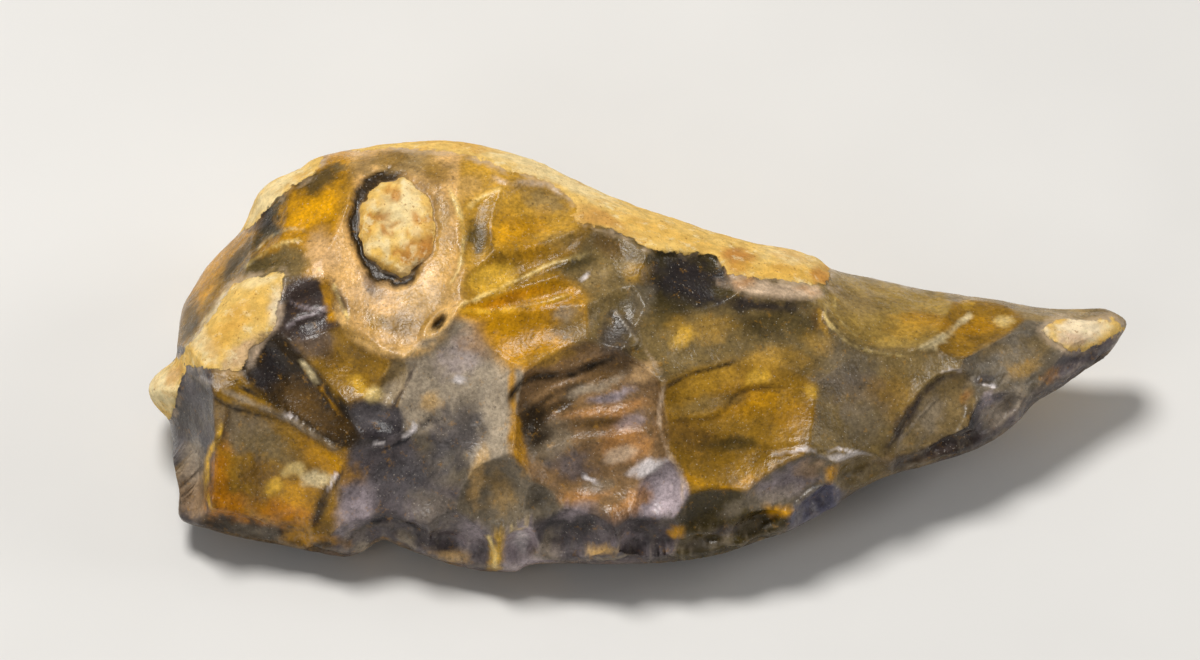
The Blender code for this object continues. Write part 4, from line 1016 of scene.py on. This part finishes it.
def uncut_back(u, v, w, share, edge):
    """Below zero inside the outline's wall, the far side and the belly, blended into one another."""
    y, z = face_to_table(v, w)
    margin_v = section(u, LOW_V)
    margin_w = section(u, LOW_W) - edge_radius(u, 0.0)
    margin_y, margin_z = face_to_table(margin_v, margin_w)
    belly = section(u, BELLY) + (y - BELLY_MIDDLE) ** 2 / BELLY_ROUND
    curl = np.clip(1 - (y - margin_y) / MARGIN_CURL, 0, CURL_LIMIT)
    under = belly + np.maximum(margin_z - belly, 0) * curl**2 - z
    far = y - section(u, FAR_Y) + (z - FAR_MIDDLE) ** 2 / FAR_ROUND
    blend = SHARP_BLEND + (ROUND_BLEND - SHARP_BLEND) * ramp(share, BLEND_STARTS, BLEND_EASE)
    blend = blend * bluntness(u)
    return smooth_max(smooth_max(-edge, far, blend), under, blend)


def in_oval(u, v, middle_u, middle_v, half_length, half_width, heading):
    """Along and across an oval that points along its heading, in shares of its half length and half width."""
    cosine, sine = math.cos(math.radians(heading)), math.sin(math.radians(heading))
    along = (u - middle_u) * cosine + (v - middle_v) * sine
    across = (v - middle_v) * cosine - (u - middle_u) * sine
    return along / half_length, across / half_width


def face_scar(u, v, scar):
    """How deep one flake scar of the worked face goes at each point."""
    *oval, depth, steepness, _ = scar
    along, across = in_oval(u, v, *oval)
    reach = along**2 + across**2
    return depth * (1 - reach**steepness)


def uncut_sides(u, v, w):
    """Heights over the uncut front and over the other sides, the share up the face, distance to the edge."""
    share, edge = share_up_face(u, v), inside_outline(u, v)
    return w - uncut_front(u, share, edge), uncut_back(u, v, w, share, edge), share, edge


def uncut(points):
    """Below zero inside the stone as it was before it was flaked."""
    u, y, z = points
    over_front, behind, _, _ = uncut_sides(u, *table_to_face(y, z))
    return np.maximum(over_front, behind)


def features(points, hidden_scars):
    """Each surface that bounds the stone, below zero inside it: skin, face scars, hidden scars, seat."""
    u, y, z = points
    v, w = table_to_face(y, z)
    over_front, behind, share, edge = uncut_sides(u, v, w)
    yield np.maximum(over_front, behind)
    thin = 1 - ramp(share, LOW_BAND, LOW_BAND_EASE)
    fade = 1 - thin * (1 - ramp(edge, 0, EDGE_FADE))
    for scar in FACE_SCARS:
        yield over_front + face_scar(u, v, scar) * fade
    for middle, outward, sideways, half_length, half_width, depth in hidden_scars:
        offset = points - middle[:, None]
        across = sideways @ offset
        along = np.cross(outward, sideways) @ offset
        reach = (along / half_length) ** 2 + (across / half_width) ** 2
        yield outward @ offset + depth * (1 - reach)
    yield -z


def solid(points, hidden_scars):
    greatest = np.full(points.shape[1], -np.inf)
    for feature in features(points, hidden_scars):
        greatest = np.maximum(greatest, feature)
    return greatest


def rays(along, bearing):
    """Where each ray starts inside the stone and the way it goes; along is -1 at the butt, 1 at the point."""
    spine = np.array(SPINE)
    middle = (spine[0, 0] + spine[-1, 0]) / 2
    half = (spine[-1, 0] - spine[0, 0]) / 2
    u = middle + half * np.sin(along * math.pi / 2)
    start = np.stack([u] + [smooth_through(u, spine[:, 0], spine[:, k]) for k in (1, 2)])
    lengthways = along * np.abs(along)
    sideways = np.sqrt(1 - lengthways**2)
    way = np.stack([lengthways, sideways * np.cos(bearing), sideways * np.sin(bearing)])
    return start, way * np.array(SPINE_REACH)[:, None]


def meeting(start, way, reach, shape):
    """The point on each ray where the shape, below zero inside, ends."""
    near = np.zeros(start.shape[1])
    far = np.full(start.shape[1], reach)
    for _ in range(HALVINGS):
        middle = (near + far) / 2
        inside = shape(start + way * middle) < 0
        near = np.where(inside, middle, near)
        far = np.where(inside, far, middle)
    return start + way * near


def surface(along, bearing, hidden_scars):
    """The point of the surface on each ray."""
    return meeting(*rays(along, bearing), RAY_LENGTH, lambda points: solid(points, hidden_scars))


def outward_of_skin(point):
    """The way the uncut skin faces at a point."""
    slopes = []
    for axis in np.eye(3):
        ahead, behind = (uncut((point + axis * step)[:, None])[0] for step in (SLOPE_STEP, -SLOPE_STEP))
        slopes.append(ahead - behind)
    return np.array(slopes) / np.linalg.norm(slopes)


def place_hidden_scars():
    """The runs of scars on the far side, the underside and round the butt, set on the uncut skin."""
    spine = np.array(SPINE)
    scars = []
    for count, run in zip(RUN_COUNTS, HIDDEN_RUNS):
        first_u, last_u, first_bearing, last_bearing, half_length, half_width, depth = run
        for share in np.linspace(0, 1, count):
            sway = 1 + RUN_SWAY * math.sin(GOLDEN_TURN * (len(scars) + 1))
            u = first_u + (last_u - first_u) * share
            bearing = math.radians(first_bearing + (last_bearing - first_bearing) * share)
            start = np.array([smooth_through(u, spine[:, 0], spine[:, c]) for c in range(3)])
            way = np.array([(u - start[0]) / RAY_LEAN, math.cos(bearing), math.sin(bearing)])
            place = meeting(start[:, None], way[:, None], RAY_REACH, uncut)[:, 0]
            outward = outward_of_skin(place)
            lengthways = np.array([1.0, 0.0, 0.0]) - outward * outward[0]
            sideways = lengthways / np.linalg.norm(lengthways)
            scars.append((place, outward, sideways, half_length * sway, half_width / sway, depth * sway))
    return scars


def evened(lengths, count):
    """Places from 0 to 1 that cut a run of uneven lengths into equal parts, ends left out."""
    travelled = np.concatenate([[0.0], np.cumsum(lengths)])
    wanted = np.linspace(0, travelled[-1], count + 1)
    return np.interp(wanted, travelled, np.linspace(0, 1, len(travelled)))


def smoothed(rows, times):
    """Each row eased towards its neighbours, the first and last kept."""
    for _ in range(times):
        middle = (rows[:-2] + 2 * rows[1:-1] + rows[2:]) / 4
        rows = np.vstack([rows[:1], middle, rows[-1:]])
    return rows


def even_grid(hidden_scars):
    """The ray of each point, so that the points lie evenly and closer together on the worked face."""
    ring_rows, columns = np.indices((GUIDE_RINGS - 1, GUIDE_SEGMENTS))
    along = 1 - 2 * (ring_rows + 1.0) / GUIDE_RINGS
    bearing = BACK_BEARING + 2 * math.pi * columns / GUIDE_SEGMENTS
    points = surface(along.ravel(), bearing.ravel(), hidden_scars).reshape(3, *along.shape)

    lengthways = np.linalg.norm(np.diff(points, axis=1), axis=0)
    face = np.cos(bearing - BACK_BEARING) < FRONT_TURN
    step = (lengthways * face[1:]).sum(axis=1) / face[1:].sum(axis=1)
    step = np.concatenate([step[:1] / 2, step, step[-1:] / 2])
    new_along = 1 - 2 * evened(step, RINGS)[1:-1]

    around = np.linalg.norm(np.roll(points, -1, axis=2) - points, axis=0)
    lean = (1 - np.cos(bearing - BACK_BEARING)) / 2
    around = around * (1 + (FACE_DENSITY - 1) * ramp(lean, DENSE_STARTS, DENSE_EASE))
    shares = np.array([evened(row, SEGMENTS)[:-1] for row in around])
    shares = smoothed(shares, COLUMN_SMOOTHING)
    guide = along[:, 0]
    rows = [np.interp(new_along, guide[::-1], shares[::-1, k]) for k in range(SEGMENTS)]
    new_bearing = BACK_BEARING + 2 * math.pi * np.array(rows).T
    return np.repeat(new_along[:, None], SEGMENTS, axis=1), new_bearing


def snap_to_ridges(along, bearing, hidden_scars):
    """Slides each point that is next to a ridge on to it, where two surfaces of the stone meet."""
    shape = along.shape
    points = surface(along.ravel(), bearing.ravel(), hidden_scars)
    values = np.stack(list(features(points, hidden_scars))).reshape(-1, *shape)
    owner = values.argmax(axis=0)
    rows, columns = np.indices(shape)
    own_value = values[owner, rows, columns]
    nearest = np.full(shape, 0.5)
    new_along, new_bearing = along.copy(), bearing.copy()
    for row_step, column_step in ((1, 0), (-1, 0), (0, 1), (0, -1)):
        other_rows = np.clip(rows + row_step, 0, shape[0] - 1)
        other_columns = (columns + column_step) % shape[1]
        other = owner[other_rows, other_columns]
        lead = own_value - values[other, rows, columns]
        lag = values[other, other_rows, other_columns] - values[owner, other_rows, other_columns]
        share = lead / np.maximum(lead + lag, 1e-9)
        closer = (other != owner) & (share < nearest)
        turn = (bearing[other_rows, other_columns] - bearing + math.pi) % (2 * math.pi) - math.pi
        slide = along[other_rows, other_columns] - along
        new_along = np.where(closer, along + slide * share, new_along)
        new_bearing = np.where(closer, bearing + turn * share, new_bearing)
        nearest = np.where(closer, share, nearest)
    return new_along, new_bearing


def mottle(points, size, seed):
    """Smooth noise from -1 to 1 whose lumps are about as wide as the size."""
    cell = points / size + seed * SEED_SHIFT
    corner = np.floor(cell).astype(np.int64)
    part = cell - corner
    part = part**2 * (3 - 2 * part)
    total = np.zeros(points.shape[1])
    for step in itertools.product((0, 1), repeat=3):
        key = corner + np.array(step)[:, None]
        mixed = seed * SEED_KEY
        for place, multiplier in zip(key, CORNER_KEYS):
            mixed = mixed ^ (place * multiplier)
        for shift, multiplier in MIX_ROUNDS:
            mixed = ((mixed ^ (mixed >> shift)) * multiplier) & 0xFFFFFFFF
        value = ((mixed >> 8) & 0xFFFF) / 32767.5 - 1
        weight = np.ones(points.shape[1])
        for axis, high in enumerate(step):
            weight = weight * (part[axis] if high else 1 - part[axis])
        total += value * weight
    return total


def layered(points, size, seed, layers):
    """Noise with finer noise on top of it, from -1 to 1."""
    total = 0.0
    reach = 0.0
    for layer in range(layers):
        strength = LAYER_STRENGTH**layer
        total = total + strength * mottle(points, size / 2**layer, seed + layer)
        reach += strength
    return total / reach


def ridged(points, size, seed):
    """Hollows about as wide as the size with sharp ridges between them, 1 on the ridges."""
    return 1 - 2 * np.abs(mottle(points, size, seed))


def rising(x, low, high):
    """0 below low, 1 above high, and smooth in between."""
    t = np.clip((x - low) / (high - low), 0, 1)
    return t**2 * (3 - 2 * t)


def near_line(u, v, line, reach):
    """The points within reach of a line, then their distance, side and share of the way along it."""
    ends = np.array(line)
    low, high = ends.min(axis=0) - reach, ends.max(axis=0) + reach
    close = np.flatnonzero((u > low[0]) & (u < high[0]) & (v > low[1]) & (v < high[1]))
    run = eased(line, LINE_PULL, LINE_PARTS, False)
    return (close, *beside(u[close], v[close], run))


def ends_fade(share):
    return np.clip(np.sin(math.pi * share) * END_FADE, 0, 1)


def fossil_place(u, v, points):
    """Distance outside the fossil's rim, below zero within it, and how far round its gap."""
    reach = np.hypot(*in_oval(u, v, FOSSIL_U, FOSSIL_V, *FOSSIL_HALF, FOSSIL_LEAN))
    outside = (reach - 1) * FOSSIL_HALF[1] + RIM_WANDER * layered(points, *FOSSIL_RIM)
    turn = np.cos(np.arctan2(v - FOSSIL_V, u - FOSSIL_U) - GAP_BEARING)
    return outside, rising(turn, *GAP_OPENS)


def worn_margin(u, v):
    """How far the small chips of the lower margin show."""
    near_edge = 1 - rising(inside_outline(u, v), *WORN_EDGE)
    low_down = 1 - rising(share_up_face(u, v), *WORN_SHARE)
    return near_edge * low_down * rising(u, *WORN_ALONG)


def face_relief(u, v, points, skin):
    """How far the fine relief of the worked face stands out of the flaked form."""
    height = np.zeros(u.shape)
    for rise, fall, line in STEPS:
        close, distance, side, share = near_line(u, v, line, 4 * fall)
        jump = rising(side * distance, -STEP_HALF, STEP_HALF)
        height[close] += rise * jump * np.exp(-distance / fall) * ends_fade(share)
    for rise, half_width, line in RIDGES:
        close, distance, _, share = near_line(u, v, line, 2 * half_width)
        height[close] += rise * np.clip(1 - distance / half_width, 0, 1) ** RIDGE_HOLLOW * ends_fade(share)
    for *oval, depth in CHIPS:
        along, across = in_oval(u, v, *oval)
        height -= depth * np.clip(1 - (along**2 + across**2), 0, 1)
    outside, gap = fossil_place(u, v, points)
    in_gap = rising(outside, -0.5, 0.1) * (1 - rising(outside, GAP_WIDTH * gap - 0.1, GAP_WIDTH * gap + 0.7))
    height -= GAP_DEPTH * in_gap * (GAP_LEAST + (1 - GAP_LEAST) * gap)
    crumbs = CRUMB_HEIGHT + CRUMB_HEIGHT * layered(points, *FOSSIL_CRUMBS)
    height += crumbs * rising(-outside, *CRUMB_BEGINS)
    slot = np.hypot(*in_oval(u, v, *SLOT))
    height -= SLOT_DEPTH * np.clip(SLOT_SIDE - slot, 0, 1)
    height += SLOT_RIM_HEIGHT * rising(-np.abs(slot - SLOT_RIM), -SLOT_RIM_HALF, 0)
    rippled = np.hypot(u - RIPPLE_CENTRE[0], v - RIPPLE_CENTRE[1])
    rippled = rippled + RIPPLE_WANDER * layered(points, *RIPPLE_BENDS)
    in_ripples = rising(rippled, *RIPPLE_INNER) * (1 - rising(rippled, *RIPPLE_OUTER))
    in_ripples *= rising(-u, *RIPPLE_RIGHT) * rising(u, *RIPPLE_LEFT)
    height += RIPPLE_HEIGHT * np.sin(rippled * 2 * math.pi / RIPPLE_LENGTH) * in_ripples
    height += SKIN_RISE * rising(skin, *SKIN_EDGE)
    return height


def skin_field(u, v, depth, on_face, points):
    """Above zero where the stone keeps its skin: millimetres inside its border."""
    field = np.full(u.shape, -NO_SKIN)
    for patch in SKIN_PATCHES:
        field = np.maximum(field, inside_run(u, v, eased(patch, PATCH_PULL, PATCH_PARTS, True)))
    outside, _ = fossil_place(u, v, points)
    field = np.maximum(field, -3 * outside)
    hidden = (HIDDEN_CUT - depth) * HIDDEN_STEEPNESS + HIDDEN_WANDER * mottle(points, *HIDDEN_BORDER)
    hidden -= NO_SKIN * (1 - rising(share_up_face(u, v), *HIDDEN_BEGINS))
    return field * on_face + np.clip(hidden, -NO_SKIN, FULL_SKIN) * (1 - on_face)


def linear(colour):
    """A colour as the shader reads it."""
    return (np.array(colour) / 255.0) ** 2.2


def stone_colours(u, v, values, points, on_face, depth, dense):
    """The colours of the flint and of the skin at each point, without their finest grain."""
    warp_u, warp_v = (
        WARP * (mottle(points, *warp[:2]) * (1 - dense) + layered(points, *warp) * dense)
        for warp in (WARP_U, WARP_V)
    )
    wu, wv = u + warp_u, v + warp_v
    ragged, broken, grains = (layered(points, *noise) * dense for noise in (RAGGED, BROKEN, GRAINS))

    # Each scar's own colour, run into its neighbours' where they are nearly as deep.
    deepest = values[1 : len(FACE_SCARS) + 1].max(axis=0)
    total = np.zeros(len(u))
    colour = np.zeros((len(u), 3))
    for k, scar in enumerate(FACE_SCARS):
        uneven = layered(points, BLEED_SIZE, BLEED_SEED + k, BLEED_LAYERS)
        lag = deepest - values[k + 1] + BLEED_WARP * dense * uneven
        share = np.exp(-np.clip(lag, 0, 8) / COLOUR_BLEED)
        total += share
        colour += share[:, None] * linear(COLOURS[scar[-1]])
    colour /= total[:, None]

    def plain(name):
        return np.tile(linear(COLOURS[name]), (len(u), 1))

    def paint(amount, name, where=slice(None), on=colour):
        part = amount[:, None]
        on[where] = on[where] * (1 - part) + linear(COLOURS[name]) * part

    def clouded(base, strength, clouds):
        field = plain(base)
        for size, seed, low, name in clouds:
            paint(strength * rising(layered(points, size, seed, 4), low, low + 0.4), name, on=field)
        return field

    coat = plain("cortex")
    for blots, painted in ((BLOTS, colour), (SKIN_BLOTS, coat)):
        for *oval, strength, name in blots:
            middle_u, middle_v, half_length, half_width, _ = oval
            reach = BLOT_REACH * max(half_length, half_width) + 1
            close = np.flatnonzero((np.abs(wu - middle_u) < reach) & (np.abs(wv - middle_v) < reach))
            distance = np.hypot(*in_oval(wu[close], wv[close], *oval))
            distance += BLOT_RAGGED * ragged[close] + BLOT_GRAIN * grains[close]
            paint(strength * (1 - rising(distance, *BLOT_FADE)), name, close, painted)
    bent_u, bent_v = u + STREAK_WARP * warp_u, v + STREAK_WARP * warp_v
    for half_width, strength, name, line in STREAKS:
        close, distance, _, share = near_line(bent_u, bent_v, line, 3 * half_width)
        distance += STREAK_GRAIN * grains[close]
        fade = 1 - rising(distance, *(end * half_width for end in STREAK_FADE))
        patchy = STREAK_LEAST + (1 - STREAK_LEAST) * rising(broken[close], *STREAK_BREAKS)
        paint(strength * fade * patchy * ends_fade(share), name, close)

    outside, gap = fossil_place(u, v, points)
    # The rim's own brown grows towards the gap as painted shade, and the gap itself is painted dark: painted
    # shade in the hollow round the fossil.
    rim = rising(outside, -0.9, 0.0) * (1 - rising(outside, 0.3, 1.2))
    paint(rim * (0.25 + 0.45 * gap), "brown")
    in_gap = rising(outside, -0.3, 0.2) * (1 - rising(outside, GAP_WIDTH * gap, GAP_WIDTH * gap + 0.6))
    paint(in_gap * rising(gap, 0.1, 0.6), "brown_black")
    crumbs = layered(points, *FOSSIL_CRUMBS)
    paint(0.8 * rising(-crumbs, 0.0, 0.35) * rising(-outside, -0.2, 0.5), "skin_rust", on=coat)
    paint(0.7 * rising(crumbs, 0.1, 0.4) * rising(-outside, -0.2, 0.5), "skin_cream", on=coat)
    margin = worn_margin(u, v)
    coarse, small = ridged(points, *COARSE_CHIPS), ridged(points, *SMALL_CHIPS)
    # Painted highlights on the crests of the small chips of the margin, and painted shade in their hollows.
    chip_crest_highlight = rising(coarse, 0.7, 1.0) + rising(small, 0.75, 1.0)
    paint(0.25 * margin * np.clip(chip_crest_highlight, 0, 1), "pale_grey")
    paint(0.25 * margin * rising(-coarse, -0.2, 0.3), "violet_black")
    slot = np.hypot(*in_oval(u, v, *SLOT))
    paint(0.9 * (1 - rising(slot, 1.4, 2.4)), "tan")
    # The slot's hollow is painted dark: painted shade.
    paint(0.9 * (1 - rising(slot, 0.7, 1.2)), "brown_black")

    hidden = clouded("violet_grey", 1.0, FLINT_CLOUDS)
    rind = 1 - rising(depth + 0.4 * ragged, 0.2 * SKIN_DEPTH, 0.6 * SKIN_DEPTH)
    paint(0.6 * rind * rising(share_up_face(u, v), 0.2, 0.5), "tan", on=hidden)
    face = on_face[:, None]
    colour = colour * face + hidden * (1 - face)
    coat = coat * face + clouded("cortex", 0.7, SKIN_CLOUDS) * (1 - face)
    cloudy = layered(points, *CLOUDY)
    shading = 1 + CLOUD_STRENGTH * cloudy[:, None] + BROKEN_STRENGTH * broken[:, None]
    return colour * shading, coat


def stone_faces(points, hidden_scars):
    """Triangles over the rings and to both ends, each cell of four points cut the way that fits the stone."""
    count = points.shape[1]
    ids = np.arange(1, count - 1).reshape(RINGS - 1, SEGMENTS)
    right = np.roll(ids, -1, axis=1)
    quads = np.stack([ids[:-1], ids[1:], right[1:], right[:-1]], axis=-1).reshape(-1, 4)
    first_pair = np.abs(solid((points[:, quads[:, 0]] + points[:, quads[:, 2]]) / 2, hidden_scars))
    second_pair = np.abs(solid((points[:, quads[:, 1]] + points[:, quads[:, 3]]) / 2, hidden_scars))
    turn = (first_pair > second_pair)[:, None]
    quads = np.where(turn, np.roll(quads, -1, axis=1), quads)
    top = np.stack([np.zeros(SEGMENTS, int), ids[0], right[0]], axis=-1)
    low = np.stack([np.full(SEGMENTS, count - 1), right[-1], ids[-1]], axis=-1)
    return np.vstack([quads[:, [0, 1, 2]], quads[:, [0, 2, 3]], top, low])


def turned_outward(points, faces):
    """The triangles facing out of the stone, the way out at each point, and the longest side beside it."""
    corners = points[:, faces]
    normals = np.cross((corners[:, :, 1] - corners[:, :, 0]).T, (corners[:, :, 2] - corners[:, :, 0]).T)
    volume = (corners[:, :, 0].T * normals).sum()
    if volume < 0:
        faces = faces[:, ::-1]
        normals = -normals
    sides = np.linalg.norm(corners - np.roll(corners, 1, axis=2), axis=0).max(axis=1)
    outward = np.zeros((points.shape[1], 3))
    longest = np.zeros(points.shape[1])
    for corner in range(3):
        np.add.at(outward, faces[:, corner], normals)
        np.maximum.at(longest, faces[:, corner], sides)
    return faces, outward / np.maximum(np.linalg.norm(outward, axis=1, keepdims=True), 1e-9), longest


def coloured_mesh(places, faces, tint, coat, skin):
    """The mesh, with the colours of its flint and skin and the reach of its skin stored at its points."""
    mesh = bpy.data.meshes.new("stone")
    mesh.from_pydata(places.tolist(), [], faces.tolist())
    mesh.shade_smooth()
    for name, colours in (("tint", tint), ("coat", coat)):
        layer = mesh.attributes.new(name, "FLOAT_COLOR", "POINT")
        layer.data.foreach_set("color", np.column_stack([np.clip(colours, 0, 1), np.ones(len(skin))]).ravel())
    cover = mesh.attributes.new("skin", "FLOAT", "POINT")
    cover.data.foreach_set("value", skin)
    return mesh


def build_stone():
    """The stone as one closed, coloured mesh."""
    hidden_scars = place_hidden_scars()
    along, bearing = even_grid(hidden_scars)
    along, bearing = snap_to_ridges(along, bearing, hidden_scars)
    along = np.concatenate([[1.0], along.ravel(), [-1.0]])
    bearing = np.concatenate([[0.0], bearing.ravel(), [0.0]])
    points = surface(along, bearing, hidden_scars)

    u, y, z = points
    v, w = table_to_face(y, z)
    over_front, behind, _, edge = uncut_sides(u, v, w)
    values = np.stack(list(features(points, hidden_scars)))
    faces, outward, longest = turned_outward(points, stone_faces(points, hidden_scars))

    # Where the points lie far apart, the finest detail is left smooth.
    dense = 1 - rising(longest, *FINE_SIDES)

    out_of_face = np.array([0.0, -math.sin(FACE_TILT), math.cos(FACE_TILT)])
    facing = outward @ out_of_face
    turned_away = FACE_TURN - BUTT_TURN * rising(-u, *BUTT_TURN_ENDS)
    on_face = rising(facing, turned_away, turned_away + FACE_TURN_EASE)
    depth = -np.maximum(over_front, behind)
    skin = skin_field(u, v, depth, on_face, points)
    rough = rising(skin, *SKIN_EDGE)

    nibbled = worn_margin(u, v) * rising(facing, 0.0, 0.3)
    relief = face_relief(u, v, points, skin) * rising(facing, *RELIEF_TURN) * rising(edge, *RELIEF_EDGE)
    grain = LUMP_HEIGHT * layered(points, *LUMPS) + FINE_HEIGHT * dense * layered(points, *FINE_LUMPS)
    grain = grain + rough * (PIT_HEIGHT * layered(points, *SKIN_PITS))
    chipped = ridged(points, *COARSE_CHIPS) + 0.5 * ridged(points, *SMALL_CHIPS) - 1.1
    grain = grain + CHIP_HEIGHT * nibbled * chipped
    grain = grain * rising(z, 0.0, 1.0)

    moved = points.T + relief[:, None] * out_of_face + grain[:, None] * outward
    moved[:, 2] = np.maximum(moved[:, 2], 0.0)
    moved = (moved - np.array([MIDDLE_X, MIDDLE_Y, 0.0])) * MM

    tint, coat = stone_colours(u, v, values, points, on_face, depth, dense)
    mesh = coloured_mesh(moved, faces, tint, coat, skin)
    stone = bpy.data.objects.new("stone", mesh)
    bpy.context.scene.collection.objects.link(stone)
    return stone


class Nodes:
    """Short names for making and joining the nodes of one material."""

    def __init__(self, name):
        self.material = bpy.data.materials.new(name)
        self.material.use_nodes = True
        self.tree = self.material.node_tree
        self.shader = self.tree.nodes["Principled BSDF"]

    def add(self, kind, inputs=(), **settings):
        node = self.tree.nodes.new(kind)
        for name, value in settings.items():
            setattr(node, name, value)
        for socket, value in dict(inputs).items():
            self.feed(node.inputs[socket], value)
        return node

    def feed(self, socket, value):
        if isinstance(value, bpy.types.NodeSocket):
            self.tree.links.new(value, socket)
        else:
            socket.default_value = value

    def noise(self, size_mm, detail=3.0, roughness=0.55):
        place = self.add("ShaderNodeTexCoord")
        node = self.add(
            "ShaderNodeTexNoise",
            {
                "Vector": place.outputs["Object"],
                "Scale": 1 / (size_mm * MM),
                "Detail": detail,
                "Roughness": roughness,
            },
        )
        return node.outputs["Fac"]

    def attribute(self, name, output):
        return self.add("ShaderNodeAttribute", attribute_name=name).outputs[output]

    def between(self, value, low, high, out_low=0.0, out_high=1.0):
        """The value taken from low..high to out_low..out_high, smooth and clamped."""
        node = self.add(
            "ShaderNodeMapRange",
            {
                "Value": value,
                "From Min": low,
                "From Max": high,
                "To Min": out_low,
                "To Max": out_high,
            },
            interpolation_type="SMOOTHSTEP",
        )
        return node.outputs["Result"]

    def math(self, operation, a, b):
        return self.add("ShaderNodeMath", {0: a, 1: b}, operation=operation).outputs[0]

    def mix(self, share, a, b, blend="MIX"):
        node = self.add("ShaderNodeMix", data_type="RGBA", blend_type=blend)
        self.feed(node.inputs[0], share)
        self.feed(node.inputs[6], a)
        self.feed(node.inputs[7], b)
        return node.outputs[2]


def screen(colour):
    return (*linear(colour), 1.0)


def flecked(n, colour, flecks):
    for size, detail, roughness, low, high, strength, fleck in flecks:
        amount = n.between(n.noise(size, detail, roughness), low, high, 0.0, strength)
        colour = n.mix(amount, colour, screen(fleck))
    return colour


def stone_material():
    n = Nodes("flint_and_skin")
    tint = n.attribute("tint", "Color")
    border = n.attribute("skin", "Fac")

    # Flint: cloudy and sugary, with amber and dark flecks, and pale flecks that are painted sparkle, tiny
    # glints.
    cloud = n.between(n.noise(4.5, 5.0, 0.62), 0.3, 0.7, 0.68, 1.3)
    sugar = n.between(n.noise(0.55, 4.0, 0.7), 0.3, 0.7, 0.76, 1.25)
    flint = n.mix(1.0, tint, n.math("MULTIPLY", cloud, sugar), "MULTIPLY")
    flint = flecked(n, flint, FLINT_FLECKS)

    # Skin: chalky and tan, with brown pits and cream rubbed places.
    chalky = n.between(n.noise(1.6, 5.0, 0.7), 0.32, 0.68, 0.78, 1.14)
    cortex = n.mix(1.0, n.attribute("coat", "Color"), chalky, "MULTIPLY")
    cortex = flecked(n, cortex, SKIN_FLECKS)

    ragged = n.math("MULTIPLY", n.math("SUBTRACT", n.noise(1.4, 4.0, 0.6), 0.5), 1.8)
    reach = n.math("ADD", border, ragged)
    covered = n.between(reach, -0.12, 0.12)
    rind = n.math("MULTIPLY", n.between(reach, -1.2, -0.1, 0.0, 0.6), n.between(n.noise(5.0), 0.42, 0.6))
    under = n.mix(rind, flint, screen(RIND_COLOUR))
    n.feed(n.shader.inputs["Base Color"], n.mix(covered, under, cortex))

    gloss = n.between(n.noise(3.0, 3.0, 0.6), 0.3, 0.7, 0.2, 0.38)
    roughness = n.add("ShaderNodeMix", data_type="FLOAT")
    n.feed(roughness.inputs[0], covered)
    n.feed(roughness.inputs[2], gloss)
    n.feed(roughness.inputs[3], SKIN_ROUGHNESS)
    n.feed(n.shader.inputs["Roughness"], roughness.outputs[0])

    grain = n.math("MULTIPLY", n.noise(0.5, 4.0, 0.7), covered)
    fine = n.math("MULTIPLY", n.noise(0.45, 3.0, 0.6), 0.25)
    wavy = n.math("MULTIPLY", n.noise(1.8, 2.0, 0.5), 0.5)
    bump = n.add(
        "ShaderNodeBump",
        {
            "Strength": BUMP_STRENGTH,
            "Distance": BUMP_METRES,
            "Height": n.math("ADD", n.math("ADD", grain, fine), wavy),
        },
    )
    n.feed(n.shader.inputs["Normal"], bump.outputs["Normal"])
    n.shader.inputs["IOR"].default_value = FLINT_IOR
    n.shader.inputs["Specular IOR Level"].default_value = FLINT_SPECULAR
    return n.material


def floor_material():
    n = Nodes("pale_floor")
    shade = n.mix(n.between(n.noise(60.0, 3.0, 0.5), 0.3, 0.7), *FLOOR_SHADES)
    n.feed(n.shader.inputs["Base Color"], shade)
    n.shader.inputs["Roughness"].default_value = FLOOR_ROUGHNESS
    return n.material


def add_floor():
    mesh = bpy.data.meshes.new("floor")
    corners = [(x * FLOOR_HALF, y * FLOOR_HALF, 0.0) for x, y in ((-1, -1), (1, -1), (1, 1), (-1, 1))]
    mesh.from_pydata(corners, [], [(0, 1, 2, 3)])
    mesh.materials.append(floor_material())
    floor = bpy.data.objects.new("floor", mesh)
    bpy.context.scene.collection.objects.link(floor)


def aim(thing, place, target):
    thing.location = place
    thing.rotation_euler = (Vector(target) - Vector(place)).to_track_quat("-Z", "Y").to_euler()


def add_light(name, place, size, watts, colour):
    lamp = bpy.data.lights.new(name, "AREA")
    lamp.shape = "DISK"
    lamp.size = size
    lamp.energy = watts
    lamp.color = colour
    thing = bpy.data.objects.new(name, lamp)
    bpy.context.scene.collection.objects.link(thing)
    aim(thing, place, LIGHT_TARGET)


def add_camera():
    """Square to the worked face, framed as in the photograph."""
    distance = LENS / SENSOR * PICTURE_WIDTH
    y, z = face_to_table(PICTURE_V, 0.0)
    target = Vector((PICTURE_U - MIDDLE_X, y - MIDDLE_Y, z)) * MM
    out_of_face = Vector((0.0, -math.sin(FACE_TILT), math.cos(FACE_TILT)))
    camera = bpy.data.cameras.new("camera")
    camera.sensor_width = SENSOR
    camera.lens = LENS
    thing = bpy.data.objects.new("camera", camera)
    bpy.context.scene.collection.objects.link(thing)
    aim(thing, target + out_of_face * distance * MM, target)
    bpy.context.scene.camera = thing


def set_world():
    world = bpy.data.worlds.new("soft_room")
    world.use_nodes = True
    background = world.node_tree.nodes["Background"]
    background.inputs["Color"].default_value = (1.0, 1.0, 1.0, 1.0)
    background.inputs["Strength"].default_value = ROOM_STRENGTH
    bpy.context.scene.world = world
    bpy.context.scene.view_settings.view_transform = "Standard"


stone = build_stone()
stone.data.materials.append(stone_material())
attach(stone, "root")
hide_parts("hand_axe")
add_floor()
for light in LIGHTS:
    add_light(*light)
add_camera()
set_world()
